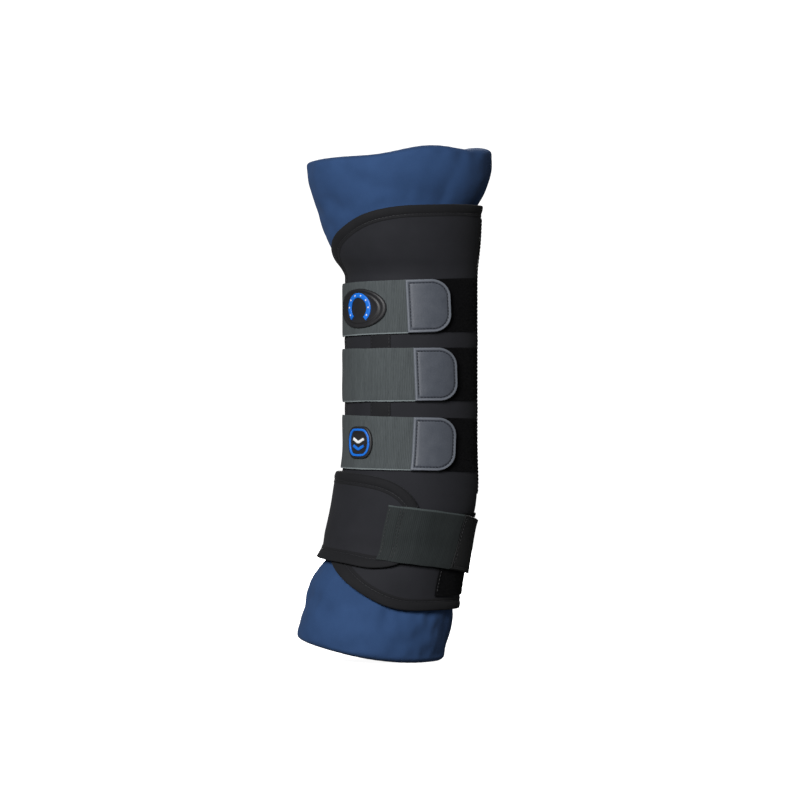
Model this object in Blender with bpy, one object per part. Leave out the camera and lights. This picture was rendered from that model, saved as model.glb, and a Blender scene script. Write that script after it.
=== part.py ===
"""Stable boot for a horse's leg: a padded liner inside a neoprene shell, closed by three
elastic straps and a fetlock wrap.

The boot stands as worn, with its front at -X, its outer side at -Y and the leg along Z.
Every layer is a flat pattern piece wrapped round one shared form, which is the outside of
the liner. A pattern piece runs between two angles round the leg and two edge lines, and
lies between two distances from that form.
"""
import math

import bmesh
import bpy
import numpy as np

# Overall sizes, in metres.
BOOT_HEIGHT = 0.4655
CANNON_WIDTH = 0.108
CANNON_DEPTH = 0.094
FLARE_ROUNDNESS = 0.82
RIM_SLOPE = 0.070
SOLE_SLOPE = 0.128

# Straps, from the top down: name, share of height at the middle, rise towards the back, and
# the angle from the back of the leg where the elastic ends and the tab starts.
STRAPS = (
    ("top", 0.6885, 0.0030, 92.4),
    ("middle", 0.5570, 0.0008, 86.2),
    ("lower", 0.4235, -0.0020, 87.7),
)
STRAP_WIDTH = 0.048
FLARE_GAP = 0.00323
FLARE_START = STRAPS[0][1] + (STRAP_WIDTH / 2 + FLARE_GAP) / BOOT_HEIGHT

# How far the front and the back of the liner stand out from the cannon, by share of height.
# The flare begins just above the top strap, whatever the strap's width.
OUTLINE = (
    (0.000, 0.0490, -0.0170),
    (0.054, 0.0490, -0.0167),
    (0.080, 0.0467, -0.0164),
    (0.114, 0.0417, -0.0160),
    (0.160, 0.0362, -0.0132),
    (0.189, 0.0264, -0.0110),
    (0.211, 0.0182, -0.0094),
    (0.254, 0.0134, -0.0060),
    (0.301, 0.0087, -0.0008),
    (0.344, 0.0050, 0.0008),
    (0.387, 0.0010, 0.0004),
    (0.430, 0.0000, 0.0000),
    (0.700, 0.0000, 0.0000),
    (FLARE_START, 0.0000, 0.0000),
    (FLARE_START + 0.016, 0.0036, 0.0004),
    (FLARE_START + 0.035, 0.0116, 0.0016),
    (FLARE_START + 0.070, 0.0212, 0.0032),
    (FLARE_START + 0.105, 0.0272, 0.0040),
    (FLARE_START + 0.133, 0.0312, 0.0050),
    (FLARE_START + 0.158, 0.0346, 0.0100),
    (FLARE_START + 0.186, 0.0385, 0.0152),
    (0.968, 0.0407, 0.0168),
    (1.000, 0.0407, 0.0168),
)

# Thicknesses and the clearances between layers.
LINER_THICKNESS = 0.019
LINER_LOFT = 0.30
FABRIC = 0.0016
HEM = 0.0030
NEOPRENE = 0.0036
TAPE = 0.0006
LOOP_PILE = 0.0012
HOOK_PILE = 0.0008
ELASTIC = 0.0016
TAB_SKIN = 0.0018
BADGE = 0.0016
MOTIF = 0.0008
BIND_PROUD = 0.0003
CLEARANCE = 0.0004
LINER_ROOM = 0.0019
FLARE_ROOM = 0.0003

# Distances from the form at which each layer starts.
SHELL_IN = LINER_ROOM
SHELL_OUT = SHELL_IN + NEOPRENE
ON_SHELL = SHELL_OUT + CLEARANCE
LOOP_OUT = ON_SHELL + LOOP_PILE
STRAP_IN = ON_SHELL + TAPE + CLEARANCE
STRAP_OUT = STRAP_IN + ELASTIC
HOOK_IN = LOOP_OUT + CLEARANCE
TAB_IN = HOOK_IN + HOOK_PILE + CLEARANCE
TAB_OUT = TAB_IN + TAB_SKIN
WING_IN = STRAP_IN + FLARE_ROOM
WING_OUT = WING_IN + NEOPRENE
WING_STRAP_IN = WING_OUT + CLEARANCE

# Edge lines of the neoprene shell: degrees from the back of the leg, share of height.
SHELL_TOP = (
    (0, FLARE_START + 0.139), (60, FLARE_START + 0.137), (95, FLARE_START + 0.131),
    (114, FLARE_START + 0.119), (130, FLARE_START + 0.099), (148, FLARE_START + 0.073),
    (162, FLARE_START + 0.045), (172, FLARE_START + 0.021), (177, FLARE_START - 0.002),
)
SHELL_BOTTOM = ((0, 0.102), (57, 0.102), (75, 0.104), (87, 0.113), (106, 0.138),
                (120, 0.160), (143, 0.191), (160, 0.212), (177, 0.226))
SHELL_FRONT = 177.0
SHELL_BACK = 0.7
BINDING_WIDTH = 0.0075
SHELL_ROWS = 27
SHELL_ROW_PULL = 0.055

# Tapes sewn on the shell: half angle or angles, and their ends as shares of height.
REAR_TAPE = 5.0
REAR_TAPE_LOW = 0.325
REAR_TAPE_HIGH = FLARE_START + 0.108
SIDE_TAPE = (-127.5, -108.0)
SIDE_TAPE_LOW = 0.415
SIDE_TAPE_HIGH = 0.700

# Liner wrap, closed edge to edge down the front.
LINER_FRONT = 178.4
EDGE_WIDTH = 0.0030
LINER_HOOKS = (72.0, 108.0)
LINER_HOOKS_LOW = 0.47
LINER_HOOKS_HIGH = 0.64
LINER_HOOKS_ROOM = 0.0005

# Strap run, in degrees from the back of the leg.
STRAP_FRONT = 178.6
TAB_LENGTH = 0.0395
TAB_TIP = 0.48
TAB_TIP_SQUARENESS = 0.12
HOOK_MARGIN = 0.0035
HOOK_START_MARGIN = 0.0105
LOOP_GAP = 8.5
LOOP_END = 9.0
ROOT_END = 142.0
STRAP_ROWS = 4
HINGE_SIDE = -0.0010
HINGE_ROOM = 0.0008
WING_HINGE_ROOM = 0.0020
TAB_COLUMNS = 10

# Fetlock wrap.
STRAP_FOOT = STRAPS[2][1] - STRAP_WIDTH / 2 / BOOT_HEIGHT
WING_TOP = (
    (80, STRAP_FOOT - 0.0689), (90, STRAP_FOOT - 0.0419), (105, STRAP_FOOT - 0.0204),
    (123, STRAP_FOOT - 0.0109), (150, STRAP_FOOT - 0.0049), (180, STRAP_FOOT - 0.0024),
)
WING_BOTTOM = ((80, 0.195), (89, 0.1875), (102, 0.1845), (126, 0.1935), (150, 0.199), (180, 0.2035))
WING_FRONT = 178.2
WING_END = 80.0
WING_STRAP_START = 103.0
WING_STRAP_END = 37.0
WING_STRAP_WIDTH = 0.049
WING_STRAP_SHARE = 0.2495
WING_STRAP_FALL = 0.0133
END_TAB_LENGTH = 0.052
END_TAB_GAP = 1.0
WING_ROOT_END = 138.0
STRAP_SETTLE_START = 78.0
STRAP_SETTLE = 24.0
LOOP_PATCH = (-48.0, 36.0)
LOOP_PATCH_TOP = 0.288
LOOP_PATCH_MARGIN = 0.012

# Badges, moulded in rubber and sewn on the top and the lower strap.
BADGE_ANGLE = 137.5
OVAL_WIDTH = 0.056
OVAL_HEIGHT = 0.0355
CREST_WIDTH = 0.029
CREST_HEIGHT = 0.029

COLOURS = {
    "navy": (0.020, 0.050, 0.120, 0.92, 0.0),
    "quilt": (0.030, 0.040, 0.070, 0.95, 0.0),
    "wadding": (0.750, 0.760, 0.780, 0.98, 0.0),
    "neoprene": (0.016, 0.017, 0.020, 0.80, 0.0),
    "binding": (0.010, 0.010, 0.012, 0.70, 0.0),
    "loop": (0.006, 0.006, 0.008, 0.96, 0.0),
    "hook": (0.012, 0.012, 0.014, 0.60, 0.0),
    "elastic": (0.045, 0.055, 0.056, 0.85, 0.0),
    "tab": (0.060, 0.068, 0.084, 0.50, 0.0),
    "rubber": (0.010, 0.010, 0.012, 0.45, 0.0),
    "blue": (0.010, 0.160, 0.700, 0.40, 0.0),
}


def clear_scene():
    for item in list(bpy.data.objects):
        bpy.data.objects.remove(item, do_unlink=True)


def curve_through(points, position):
    """A smooth curve through points (Catmull-Rom), read at each position."""
    known = np.array([p[0] for p in points], dtype=float)
    values = np.array([p[1] for p in points], dtype=float)
    slopes = np.gradient(values, known)
    flat = np.isclose(np.diff(values), 0.0)
    slopes[:-1][flat] = 0.0
    slopes[1:][flat] = 0.0
    position = np.clip(position, known[0], known[-1])
    index = np.clip(np.searchsorted(known, position, side="right") - 1, 0, len(known) - 2)
    span = known[index + 1] - known[index]
    t = (position - known[index]) / span
    start = values[index] * (1 + 2 * t) * (1 - t) ** 2 + slopes[index] * span * t * (1 - t) ** 2
    end = values[index + 1] * t ** 2 * (3 - 2 * t) - slopes[index + 1] * span * t ** 2 * (1 - t)
    return start + end


FRONT_LINE = [(share, front) for share, front, back in OUTLINE]
BACK_LINE = [(share, back) for share, front, back in OUTLINE]


def section(height):
    """Centre, half width and half depth of the form's oval at a height."""
    share = height / BOOT_HEIGHT
    front = -CANNON_WIDTH / 2 - curve_through(FRONT_LINE, share)
    back = CANNON_WIDTH / 2 + curve_through(BACK_LINE, share)
    half_width = (back - front) / 2
    swell = half_width - CANNON_WIDTH / 2
    return (front + back) / 2, half_width, CANNON_DEPTH / 2 + FLARE_ROUNDNESS * swell


def liner_depth(height):
    """Thickness of the padding, which is pressed thinner where the straps hold it."""
    swell = section(height)[1] - CANNON_WIDTH / 2
    return LINER_THICKNESS + LINER_LOFT * np.maximum(swell, 0.0)


def wrap(angle, height, distance):
    """Point at an angle round the leg (degrees, outer side negative) off the form."""
    centre, half_width, half_depth = section(height)
    turn = math.radians(angle)
    return (
        float(centre + (half_width + distance) * math.cos(turn)),
        float((half_depth + distance) * math.sin(turn)),
        float(height),
    )


def angle_after(angle, length, height, distance):
    """Angle reached by going a length round the form from an angle, towards the back."""
    _, half_width, half_depth = section(height)
    turns = np.radians(np.linspace(abs(angle), -90.0, 2000))
    speed = np.hypot((half_width + distance) * np.sin(turns), (half_depth + distance) * np.cos(turns))
    gone = np.concatenate(([0.0], np.cumsum((speed[1:] + speed[:-1]) / 2 * -np.diff(turns))))
    return float(np.degrees(np.interp(length, gone, turns)))


def add_material(name):
    red, green, blue, roughness, metallic = COLOURS[name]
    material = bpy.data.materials.new(name)
    material.use_nodes = True
    shader = material.node_tree.nodes["Principled BSDF"]
    shader.inputs["Base Color"].default_value = (red, green, blue, 1.0)
    shader.inputs["Roughness"].default_value = roughness
    shader.inputs["Metallic"].default_value = metallic
    return material


def add_piece(name, colour, columns, rows, place, seam=False):
    """A slab of the given columns and rows, bent into shape.

    place takes the share across, the share up and the side (0 inner, 1 outer) and gives
    the point in space.
    """
    mesh = bmesh.new()
    bmesh.ops.create_grid(mesh, x_segments=columns, y_segments=rows, size=0.5)
    bmesh.ops.translate(mesh, vec=(0.5, 0.5, 0.0), verts=mesh.verts)
    grown = bmesh.ops.extrude_face_region(mesh, geom=mesh.faces[:])
    outer = [item for item in grown["geom"] if isinstance(item, bmesh.types.BMVert)]
    bmesh.ops.translate(mesh, vec=(0.0, 0.0, 1.0), verts=outer)
    for vertex in mesh.verts:
        vertex.co = place(vertex.co.x, vertex.co.y, vertex.co.z)
    if seam:
        close_ring(mesh)
    bmesh.ops.recalc_face_normals(mesh, faces=mesh.faces)
    if mesh.calc_volume(signed=True) < 0:
        bmesh.ops.reverse_faces(mesh, faces=mesh.faces)
    data = bpy.data.meshes.new(name)
    mesh.to_mesh(data)
    mesh.free()
    data.shade_smooth()
    data.set_sharp_from_angle(angle=math.radians(40))
    data.materials.append(MATERIALS[colour])
    piece = bpy.data.objects.new(name, data)
    PARTS.objects.link(piece)
    return piece


def hinge_on(name, point, pieces, parent=None):
    """An empty on a joint's axis, which carries the pieces that turn about it."""
    pivot = bpy.data.objects.new(name, None)
    pivot.empty_display_size = 0.02
    PARTS.objects.link(pivot)
    base = (0.0, 0.0, 0.0)
    if parent:
        pivot.parent = parent
        base = parent.matrix_world.translation
    pivot.location = [a - b for a, b in zip(point, base)]
    bpy.context.view_layer.update()
    for piece in pieces:
        piece.parent = pivot
        piece.location = [-a for a in point]
    return pivot


def close_ring(mesh):
    """Joins the two ends of a slab that was bent into a ring."""
    bmesh.ops.remove_doubles(mesh, verts=mesh.verts, dist=1e-7)
    ends = [face for face in mesh.faces if all(len(edge.link_faces) > 2 for edge in face.edges)]
    bmesh.ops.delete(mesh, geom=ends, context="FACES_ONLY")


def mix(low, high, share):
    return low + (high - low) * share


def add_wrapped(name, colour, angles, low, high, inner, outer, columns, rows=1, spread=None):
    """A pattern piece between two angles, two edge lines and two distances from the form.

    low, high, inner and outer are numbers or functions of the angle. spread moves the rows
    between the edge lines.
    """
    def place(across, up, side):
        angle = mix(angles[0], angles[1], across)
        distance = mix(value_at(inner, angle), value_at(outer, angle), side)
        up = spread(up) if spread else up
        height = mix(value_at(low, angle), value_at(high, angle), up)
        return wrap(angle, height, distance)
    return add_piece(name, colour, columns, rows, place)


def value_at(value, angle):
    return value(angle) if callable(value) else value


def edge_line(points):
    """Height of an edge line at an angle, on either side of the leg."""
    return lambda angle: float(curve_through(points, abs(angle))) * BOOT_HEIGHT


def moved_in(line, width, distance=SHELL_OUT):
    """An edge line moved down by a width measured square to it, or up if it is negative."""
    def inset(angle):
        step = 1.5
        around = math.radians(2 * step) * (section(line(angle))[1] + distance)
        slope = (line(angle + step) - line(angle - step)) / around
        return line(angle) - width * math.hypot(1.0, slope)
    return inset


# ---------------------------------------------------------------------------- liner

LINER_SKIPS = (2, 7, 12, 17, 19, 21)
LINER_ROWS = [station[0] for i, station in enumerate(OUTLINE) if i not in LINER_SKIPS]


def rim_height(x):
    """Height of the liner's top face, a plane that rises towards the back."""
    centre, half_width, _ = section(BOOT_HEIGHT)
    return BOOT_HEIGHT - RIM_SLOPE * (centre + half_width - x)


def sole_height(x):
    """Height of the liner's bottom face, a plane that rises towards the front."""
    centre, half_width, _ = section(0.0)
    return SOLE_SLOPE * (centre + half_width - x)


def hem_point(angle, distance, end):
    """Plan position of a point on the liner's top (end 1) or bottom (end 0) section."""
    centre, half_width, half_depth = section(BOOT_HEIGHT * end)
    turn = math.radians(angle)
    x = float(centre + (half_width + distance) * math.cos(turn))
    y = float((half_depth + distance) * math.sin(turn))
    return x, y


def add_liner_layer(name, colour, inner, outer, angles):
    """One layer of the liner, between its two hems; inner and outer are shares of depth."""
    def place(across, up, side):
        angle = mix(angles[0], angles[1], across)
        row = round(up * (len(LINER_ROWS) - 1))
        share = LINER_ROWS[row]
        distance = mix(inner(share), outer(share), side)
        low = sole_height(hem_point(angle, distance, 0)[0]) + HEM + CLEARANCE
        high = rim_height(hem_point(angle, distance, 1)[0]) - HEM - CLEARANCE
        return wrap(angle, mix(low, high, share), distance)
    columns = max(1, round(abs(angles[1] - angles[0]) / 16.5))
    return add_piece(name, colour, columns, len(LINER_ROWS) - 1, place)


def depth_at(share):
    return float(liner_depth(share * BOOT_HEIGHT))


def cover_in(share):
    return -FABRIC


def core_out(share):
    return -FABRIC - CLEARANCE


def core_in(share):
    return -depth_at(share) + FABRIC + CLEARANCE


def lining_out(share):
    return -depth_at(share) + FABRIC


def lining_in(share):
    return -depth_at(share)


def surface(share):
    return 0.0


def add_liner():
    edge = math.degrees(EDGE_WIDTH / (CANNON_WIDTH / 2))
    gap = math.degrees(CLEARANCE * 1.5 / (CANNON_WIDTH / 2))
    body = (-(LINER_FRONT - edge - gap), LINER_FRONT - edge - gap)
    add_liner_layer("liner_wadding", "wadding", core_in, core_out, body)
    add_liner_layer("liner_cover", "navy", cover_in, surface, body)
    add_liner_layer("liner_lining", "quilt", lining_in, lining_out, body)
    for side, name in ((-1, "liner_outer_front_edge"), (1, "liner_inner_front_edge")):
        strip = (side * (LINER_FRONT - edge), side * LINER_FRONT)
        add_liner_layer(name, "navy", lining_in, surface, strip)
    for end, name in ((1, "liner_top_hem"), (0, "liner_bottom_hem")):
        add_hem(name, end)


def add_hem(name, end):
    """The turned-in end of the liner, a flat ring between its cover and its lining."""
    def place(across, up, side):
        angle = mix(-LINER_FRONT, LINER_FRONT, across)
        x, y = hem_point(angle, -depth_at(float(end)) * (1 - side), end)
        if end:
            return x, y, rim_height(x) - HEM * (1 - up)
        return x, y, sole_height(x) + HEM * up
    return add_piece(name, "navy", 26, 1, place)


def add_liner_hooks():
    """Hook pads on the liner's cover, which hold it inside the shell."""
    low = LINER_HOOKS_LOW * BOOT_HEIGHT
    high = LINER_HOOKS_HIGH * BOOT_HEIGHT
    for side, name in ((-1, "liner_outer_hook_pad"), (1, "liner_inner_hook_pad")):
        angles = (side * LINER_HOOKS[0], side * LINER_HOOKS[1])
        add_wrapped(name, "hook", angles, low, high, LINER_HOOKS_ROOM,
                    LINER_HOOKS_ROOM + HOOK_PILE, 6)


# ---------------------------------------------------------------------------- shell

def shell_spread(up):
    """Rows of the shell, closer together where the boot flares."""
    return up - SHELL_ROW_PULL * math.sin(4 * math.pi * up) * (1 - abs(2 * up - 1))


def add_shell():
    top = edge_line(SHELL_TOP)
    bottom = edge_line(SHELL_BOTTOM)
    inset_top = moved_in(top, BINDING_WIDTH)
    inset_bottom = moved_in(bottom, -BINDING_WIDTH)
    front_width = math.degrees(BINDING_WIDTH / (CANNON_WIDTH / 2 + SHELL_OUT))
    gap = math.degrees(CLEARANCE / (CANNON_WIDTH / 2 + SHELL_OUT))
    cut_top = moved_in(top, BINDING_WIDTH + CLEARANCE)
    cut_bottom = moved_in(bottom, -BINDING_WIDTH - CLEARANCE)
    panel_front = SHELL_FRONT - front_width - gap
    band_in = SHELL_IN - BIND_PROUD
    band_out = SHELL_OUT + BIND_PROUD
    for side, name in ((-1, "outer"), (1, "inner")):
        angles = (side * SHELL_BACK, side * panel_front)
        add_wrapped(f"shell_{name}_panel", "neoprene", angles, cut_bottom, cut_top,
                    SHELL_IN, SHELL_OUT, 19, SHELL_ROWS, shell_spread)
        around = (side * SHELL_BACK, side * SHELL_FRONT)
        add_wrapped(f"{name}_top_binding", "binding", around, inset_top, top,
                    band_in, band_out, 20)
        add_wrapped(f"{name}_bottom_binding", "binding", around, bottom, inset_bottom,
                    band_in, band_out, 20)
        front = (side * (SHELL_FRONT - front_width), side * SHELL_FRONT)
        low = moved_in(bottom, -BINDING_WIDTH - CLEARANCE)
        add_wrapped(f"{name}_front_binding", "binding", front, low, cut_top,
                    band_in, band_out, 1, 12)
    add_wrapped("rear_seam_tape", "binding", (-REAR_TAPE, REAR_TAPE),
                REAR_TAPE_LOW * BOOT_HEIGHT, REAR_TAPE_HIGH * BOOT_HEIGHT,
                ON_SHELL + BIND_PROUD, ON_SHELL + BIND_PROUD + TAPE, 2, 14)
    add_wrapped("outer_stiffening_tape", "binding", SIDE_TAPE, SIDE_TAPE_LOW * BOOT_HEIGHT,
                SIDE_TAPE_HIGH * BOOT_HEIGHT, ON_SHELL, ON_SHELL + TAPE, 3, 4)


# ---------------------------------------------------------------------------- straps

def strap_middle(share, rise):
    """Height of a strap's middle line, which climbs by the rise from front to back."""
    return lambda angle: share * BOOT_HEIGHT + rise * (1 - abs(angle) / 90.0)


def strap_edge(middle, offset):
    return lambda angle: middle(angle) + offset


def add_strap(name, share, rise, elastic_end):
    middle = strap_middle(share, rise)
    height = share * BOOT_HEIGHT
    low = strap_edge(middle, -STRAP_WIDTH / 2)
    high = strap_edge(middle, STRAP_WIDTH / 2)
    root = (STRAP_FRONT, ROOT_END)
    flat = strap_middle(share, 0.0)
    add_wrapped(f"{name}_strap_root", "elastic", root, strap_edge(flat, -STRAP_WIDTH / 2),
                strap_edge(flat, STRAP_WIDTH / 2), STRAP_IN, STRAP_OUT, 6, STRAP_ROWS)
    sleeve = (-STRAP_FRONT, -elastic_end)
    elastic = add_wrapped(f"{name}_elastic", "elastic", sleeve, low, high, STRAP_IN, STRAP_OUT,
                14, STRAP_ROWS)
    gap = math.degrees(CLEARANCE / (CANNON_DEPTH / 2 + TAB_IN))
    seam = elastic_end - gap
    tip = angle_after(seam, TAB_LENGTH, height, TAB_OUT)
    tab = add_tab(f"{name}_tab", "tab", (seam, tip), TAB_LENGTH, middle, STRAP_WIDTH / 2,
                  TAB_IN, TAB_OUT)
    hook_start = angle_after(seam, HOOK_START_MARGIN, height, TAB_OUT)
    hook_tip = angle_after(seam, TAB_LENGTH - HOOK_MARGIN, height, TAB_OUT)
    hook_length = TAB_LENGTH - HOOK_START_MARGIN - HOOK_MARGIN
    hook = add_tab(f"{name}_hook_pad", "hook", (hook_start, hook_tip), hook_length, middle,
                   STRAP_WIDTH / 2 - HOOK_MARGIN, HOOK_IN, HOOK_IN + HOOK_PILE)
    loop = (-(elastic_end - LOOP_GAP), -LOOP_END)
    add_wrapped(f"{name}_loop_band", "loop", loop, low, high, ON_SHELL, LOOP_OUT,
                9, STRAP_ROWS)
    lowest = wrap(-STRAP_FRONT, low(-STRAP_FRONT), STRAP_OUT)
    swing = hinge_on(f"{name}_strap_hinge", (lowest[0], HINGE_SIDE, height), [elastic])
    hinge_on(f"{name}_tab_hinge", wrap(-seam, height, TAB_OUT), [tab, hook], swing)
    return swing


def add_tab(name, colour, angles, length, middle, half, inner, outer):
    """A tab with a square seam end and a rounded tip."""
    def place(across, up, side):
        angle = -mix(*angles, across)
        corner = min(half, length * TAB_TIP)
        past = max(0.0, across * length - (length - corner)) / corner
        reach = half - corner * (1 - math.sqrt(1 - (1 - TAB_TIP_SQUARENESS) * past ** 2))
        return wrap(angle, middle(angle) + reach * (2 * up - 1), mix(inner, outer, side))
    return add_piece(name, colour, TAB_COLUMNS, STRAP_ROWS, place)


# ---------------------------------------------------------------------------- fetlock wrap

def add_fetlock_wrap():
    top = edge_line(WING_TOP)
    bottom = edge_line(WING_BOTTOM)
    inset_top = moved_in(top, BINDING_WIDTH, WING_OUT)
    inset_bottom = moved_in(bottom, -BINDING_WIDTH, WING_OUT)
    cut_top = moved_in(top, BINDING_WIDTH + CLEARANCE, WING_OUT)
    cut_bottom = moved_in(bottom, -BINDING_WIDTH - CLEARANCE, WING_OUT)
    swing = (-WING_FRONT, -WING_END)
    wing = [
        add_wrapped("fetlock_wing", "neoprene", swing, cut_bottom, cut_top, WING_IN, WING_OUT, 11, 6),
        add_wrapped("fetlock_wing_top_binding", "binding", swing, inset_top, top,
                    WING_IN, WING_OUT, 12),
        add_wrapped("fetlock_wing_bottom_binding", "binding", swing, bottom, inset_bottom,
                    WING_IN, WING_OUT, 12),
    ]
    root = (WING_FRONT, WING_ROOT_END)
    add_wrapped("fetlock_wing_root", "neoprene", root, bottom, top, WING_IN, WING_OUT, 5, 7)
    height = (top(WING_FRONT) + bottom(WING_FRONT)) / 2
    front = wrap(WING_FRONT, height, WING_OUT)[0]
    turn = hinge_on("fetlock_wing_hinge", (front - WING_HINGE_ROOM, HINGE_SIDE, height), wing)
    add_wing_strap(turn)
    add_fetlock_loop()


def wing_strap_middle(angle):
    """Middle line of the fetlock strap, which falls towards the back like the pastern."""
    return WING_STRAP_SHARE * BOOT_HEIGHT - WING_STRAP_FALL * (1 - abs(angle) / 90.0)


def wing_strap_in(angle):
    """The strap leaves the wing's thick end and comes down onto the loop patch."""
    share = (STRAP_SETTLE_START - abs(angle)) / STRAP_SETTLE
    share = min(1.0, max(0.0, share))
    share = share * share * (3 - 2 * share)
    return mix(WING_STRAP_IN, TAB_IN + FLARE_ROOM, share)


def wing_strap_out(angle):
    return wing_strap_in(angle) + ELASTIC


def add_wing_strap(turn):
    low = strap_edge(wing_strap_middle, -WING_STRAP_WIDTH / 2)
    high = strap_edge(wing_strap_middle, WING_STRAP_WIDTH / 2)
    sleeve = (-WING_STRAP_START, -WING_STRAP_END)
    elastic = add_wrapped("fetlock_elastic", "elastic", sleeve, low, high,
                          wing_strap_in, wing_strap_out, 13, 4)
    elastic.parent = turn
    elastic.location = [-a for a in turn.location]
    height = wing_strap_middle(20)
    start = WING_STRAP_END - END_TAB_GAP
    end = angle_after(start, END_TAB_LENGTH, height, TAB_OUT)
    end_tab = add_wrapped("fetlock_end_tab", "loop", (-start, -end), low, high,
                TAB_IN + FLARE_ROOM, TAB_OUT + FLARE_ROOM, 8, 4)
    hook_start = angle_after(start, HOOK_MARGIN, height, TAB_OUT)
    hook_end = angle_after(start, END_TAB_LENGTH - HOOK_MARGIN, height, TAB_OUT)
    inset = WING_STRAP_WIDTH / 2 - HOOK_MARGIN
    hook = add_wrapped("fetlock_hook_pad", "hook", (-hook_start, -hook_end),
                       strap_edge(wing_strap_middle, -inset), strap_edge(wing_strap_middle, inset),
                       HOOK_IN + FLARE_ROOM, HOOK_IN + FLARE_ROOM + HOOK_PILE, 8, 4)
    peel = wrap(-start, wing_strap_middle(start), TAB_OUT + FLARE_ROOM)
    hinge_on("fetlock_end_hinge", peel, [end_tab, hook], turn)


def add_fetlock_loop():
    """Loop patch that the fetlock strap fastens to, round the back of the boot."""
    low = moved_in(edge_line(SHELL_BOTTOM), -LOOP_PATCH_MARGIN)
    add_wrapped("fetlock_loop_patch", "loop", LOOP_PATCH, low, LOOP_PATCH_TOP * BOOT_HEIGHT,
                ON_SHELL + FLARE_ROOM, LOOP_OUT + FLARE_ROOM, 12, 9)


# ---------------------------------------------------------------------------- badges

def badge_place(middle, height, width, tall, inner, outer, shape):
    """Bends a flat plan, centred on the badge, onto the strap."""
    centre = -BADGE_ANGLE
    _, half_width, half_depth = section(height)
    turn = math.radians(BADGE_ANGLE)
    bend = math.hypot((half_width + outer) * math.sin(turn), (half_depth + outer) * math.cos(turn))

    def place(across, up, side):
        flat_x, flat_z = shape(2 * across - 1, 2 * up - 1)
        angle = centre + math.degrees(flat_x * width / 2 / bend)
        return wrap(angle, middle(centre) + flat_z * tall / 2, mix(inner, outer, side))
    return place


def disc(u, v):
    """A square stretched evenly over a round plan."""
    return u * math.sqrt(1 - v * v / 2), v * math.sqrt(1 - u * u / 2)


def shoe(u, v):
    """A horseshoe: an arch that stays open at the bottom."""
    turn = math.radians(90 + 140 * u)
    reach = 0.66 + 0.13 * v
    return reach * math.cos(turn) * 0.62, reach * math.sin(turn)


def crest(u, v):
    """An upright plate with slanted shoulders and foot."""
    return u * (1 - 0.28 * v * v), v


def crest_rim(u, v):
    """A closed border just inside the edge of the upright plate."""
    turn = math.pi * u
    reach = 0.80 + 0.10 * v
    square = 1 / max(abs(math.cos(turn)), abs(math.sin(turn)))
    rounded = 0.45 + 0.55 * square
    x, z = reach * math.sin(turn) * rounded, reach * math.cos(turn) * rounded
    return x * (1 - 0.28 * z * z), z


def add_badges():
    base_in = STRAP_OUT + CLEARANCE
    base_out = base_in + BADGE
    motif_in = base_out + CLEARANCE
    motif_out = motif_in + MOTIF
    _, top_share, top_rise, _ = STRAPS[0]
    _, low_share, low_rise, _ = STRAPS[2]
    top = strap_middle(top_share, top_rise)
    low = strap_middle(low_share, low_rise)
    top_height = top_share * BOOT_HEIGHT
    low_height = low_share * BOOT_HEIGHT
    base = badge_place(top, top_height, OVAL_WIDTH, OVAL_HEIGHT, base_in, base_out, disc)
    motif = badge_place(top, top_height, OVAL_WIDTH, OVAL_HEIGHT, motif_in, motif_out, shoe)
    oval = [add_piece("oval_badge", "rubber", 8, 6, base)]
    oval.append(add_piece("oval_badge_motif", "blue", 14, 1, motif))
    base = badge_place(low, low_height, CREST_WIDTH, CREST_HEIGHT, base_in, base_out, crest)
    rim = badge_place(low, low_height, CREST_WIDTH, CREST_HEIGHT, motif_in, motif_out, crest_rim)
    plate = [add_piece("crest_badge", "rubber", 5, 6, base)]
    plate.append(add_piece("crest_badge_rim", "blue", 20, 1, rim, seam=True))
    return {"top": oval, "lower": plate}


clear_scene()
PARTS = bpy.data.collections.new("stable_boot")
bpy.context.scene.collection.children.link(PARTS)
MATERIALS = {name: add_material(name) for name in COLOURS}

add_liner()
add_liner_hooks()
add_shell()
BADGES = add_badges()
for strap in STRAPS:
    pivot = add_strap(*strap)
    for badge in BADGES.get(strap[0], []):
        badge.parent = pivot
        badge.location = [-a for a in pivot.location]
add_fetlock_wrap()
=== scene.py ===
"""A horse's stable boot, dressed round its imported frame: the padded navy liner, the bound
neoprene shell, three elastic straps with coated tabs, two rubber badges and the fetlock wrap."""
import math

import bpy
import numpy as np
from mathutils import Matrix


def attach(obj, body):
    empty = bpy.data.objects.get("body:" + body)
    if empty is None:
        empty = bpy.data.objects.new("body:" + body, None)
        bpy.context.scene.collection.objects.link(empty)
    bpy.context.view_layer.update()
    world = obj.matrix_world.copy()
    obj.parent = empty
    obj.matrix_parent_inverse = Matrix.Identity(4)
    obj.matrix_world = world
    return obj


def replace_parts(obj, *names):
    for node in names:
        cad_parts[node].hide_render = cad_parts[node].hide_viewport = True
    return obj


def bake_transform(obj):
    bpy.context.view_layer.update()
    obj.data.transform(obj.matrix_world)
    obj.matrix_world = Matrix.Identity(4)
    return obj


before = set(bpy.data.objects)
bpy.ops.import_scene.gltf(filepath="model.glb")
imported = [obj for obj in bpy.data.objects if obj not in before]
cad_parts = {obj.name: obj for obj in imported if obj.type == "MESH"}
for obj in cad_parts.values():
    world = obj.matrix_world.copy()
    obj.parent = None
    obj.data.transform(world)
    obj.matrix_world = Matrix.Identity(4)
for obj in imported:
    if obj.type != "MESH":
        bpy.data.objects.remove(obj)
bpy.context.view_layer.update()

# ------------------------------------------------------------------ studio
# A white sweep of card stands behind and under the boot. A broad soft light comes from the
# front left, a weaker one fills the right, and the pale room light does the rest.
EYE_DISTANCE = 4.2
PICTURE_WIDTH = 0.7272
LENS_SENSOR = 0.036
PICTURE_CENTRE = (-0.010, 0.2364)

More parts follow.
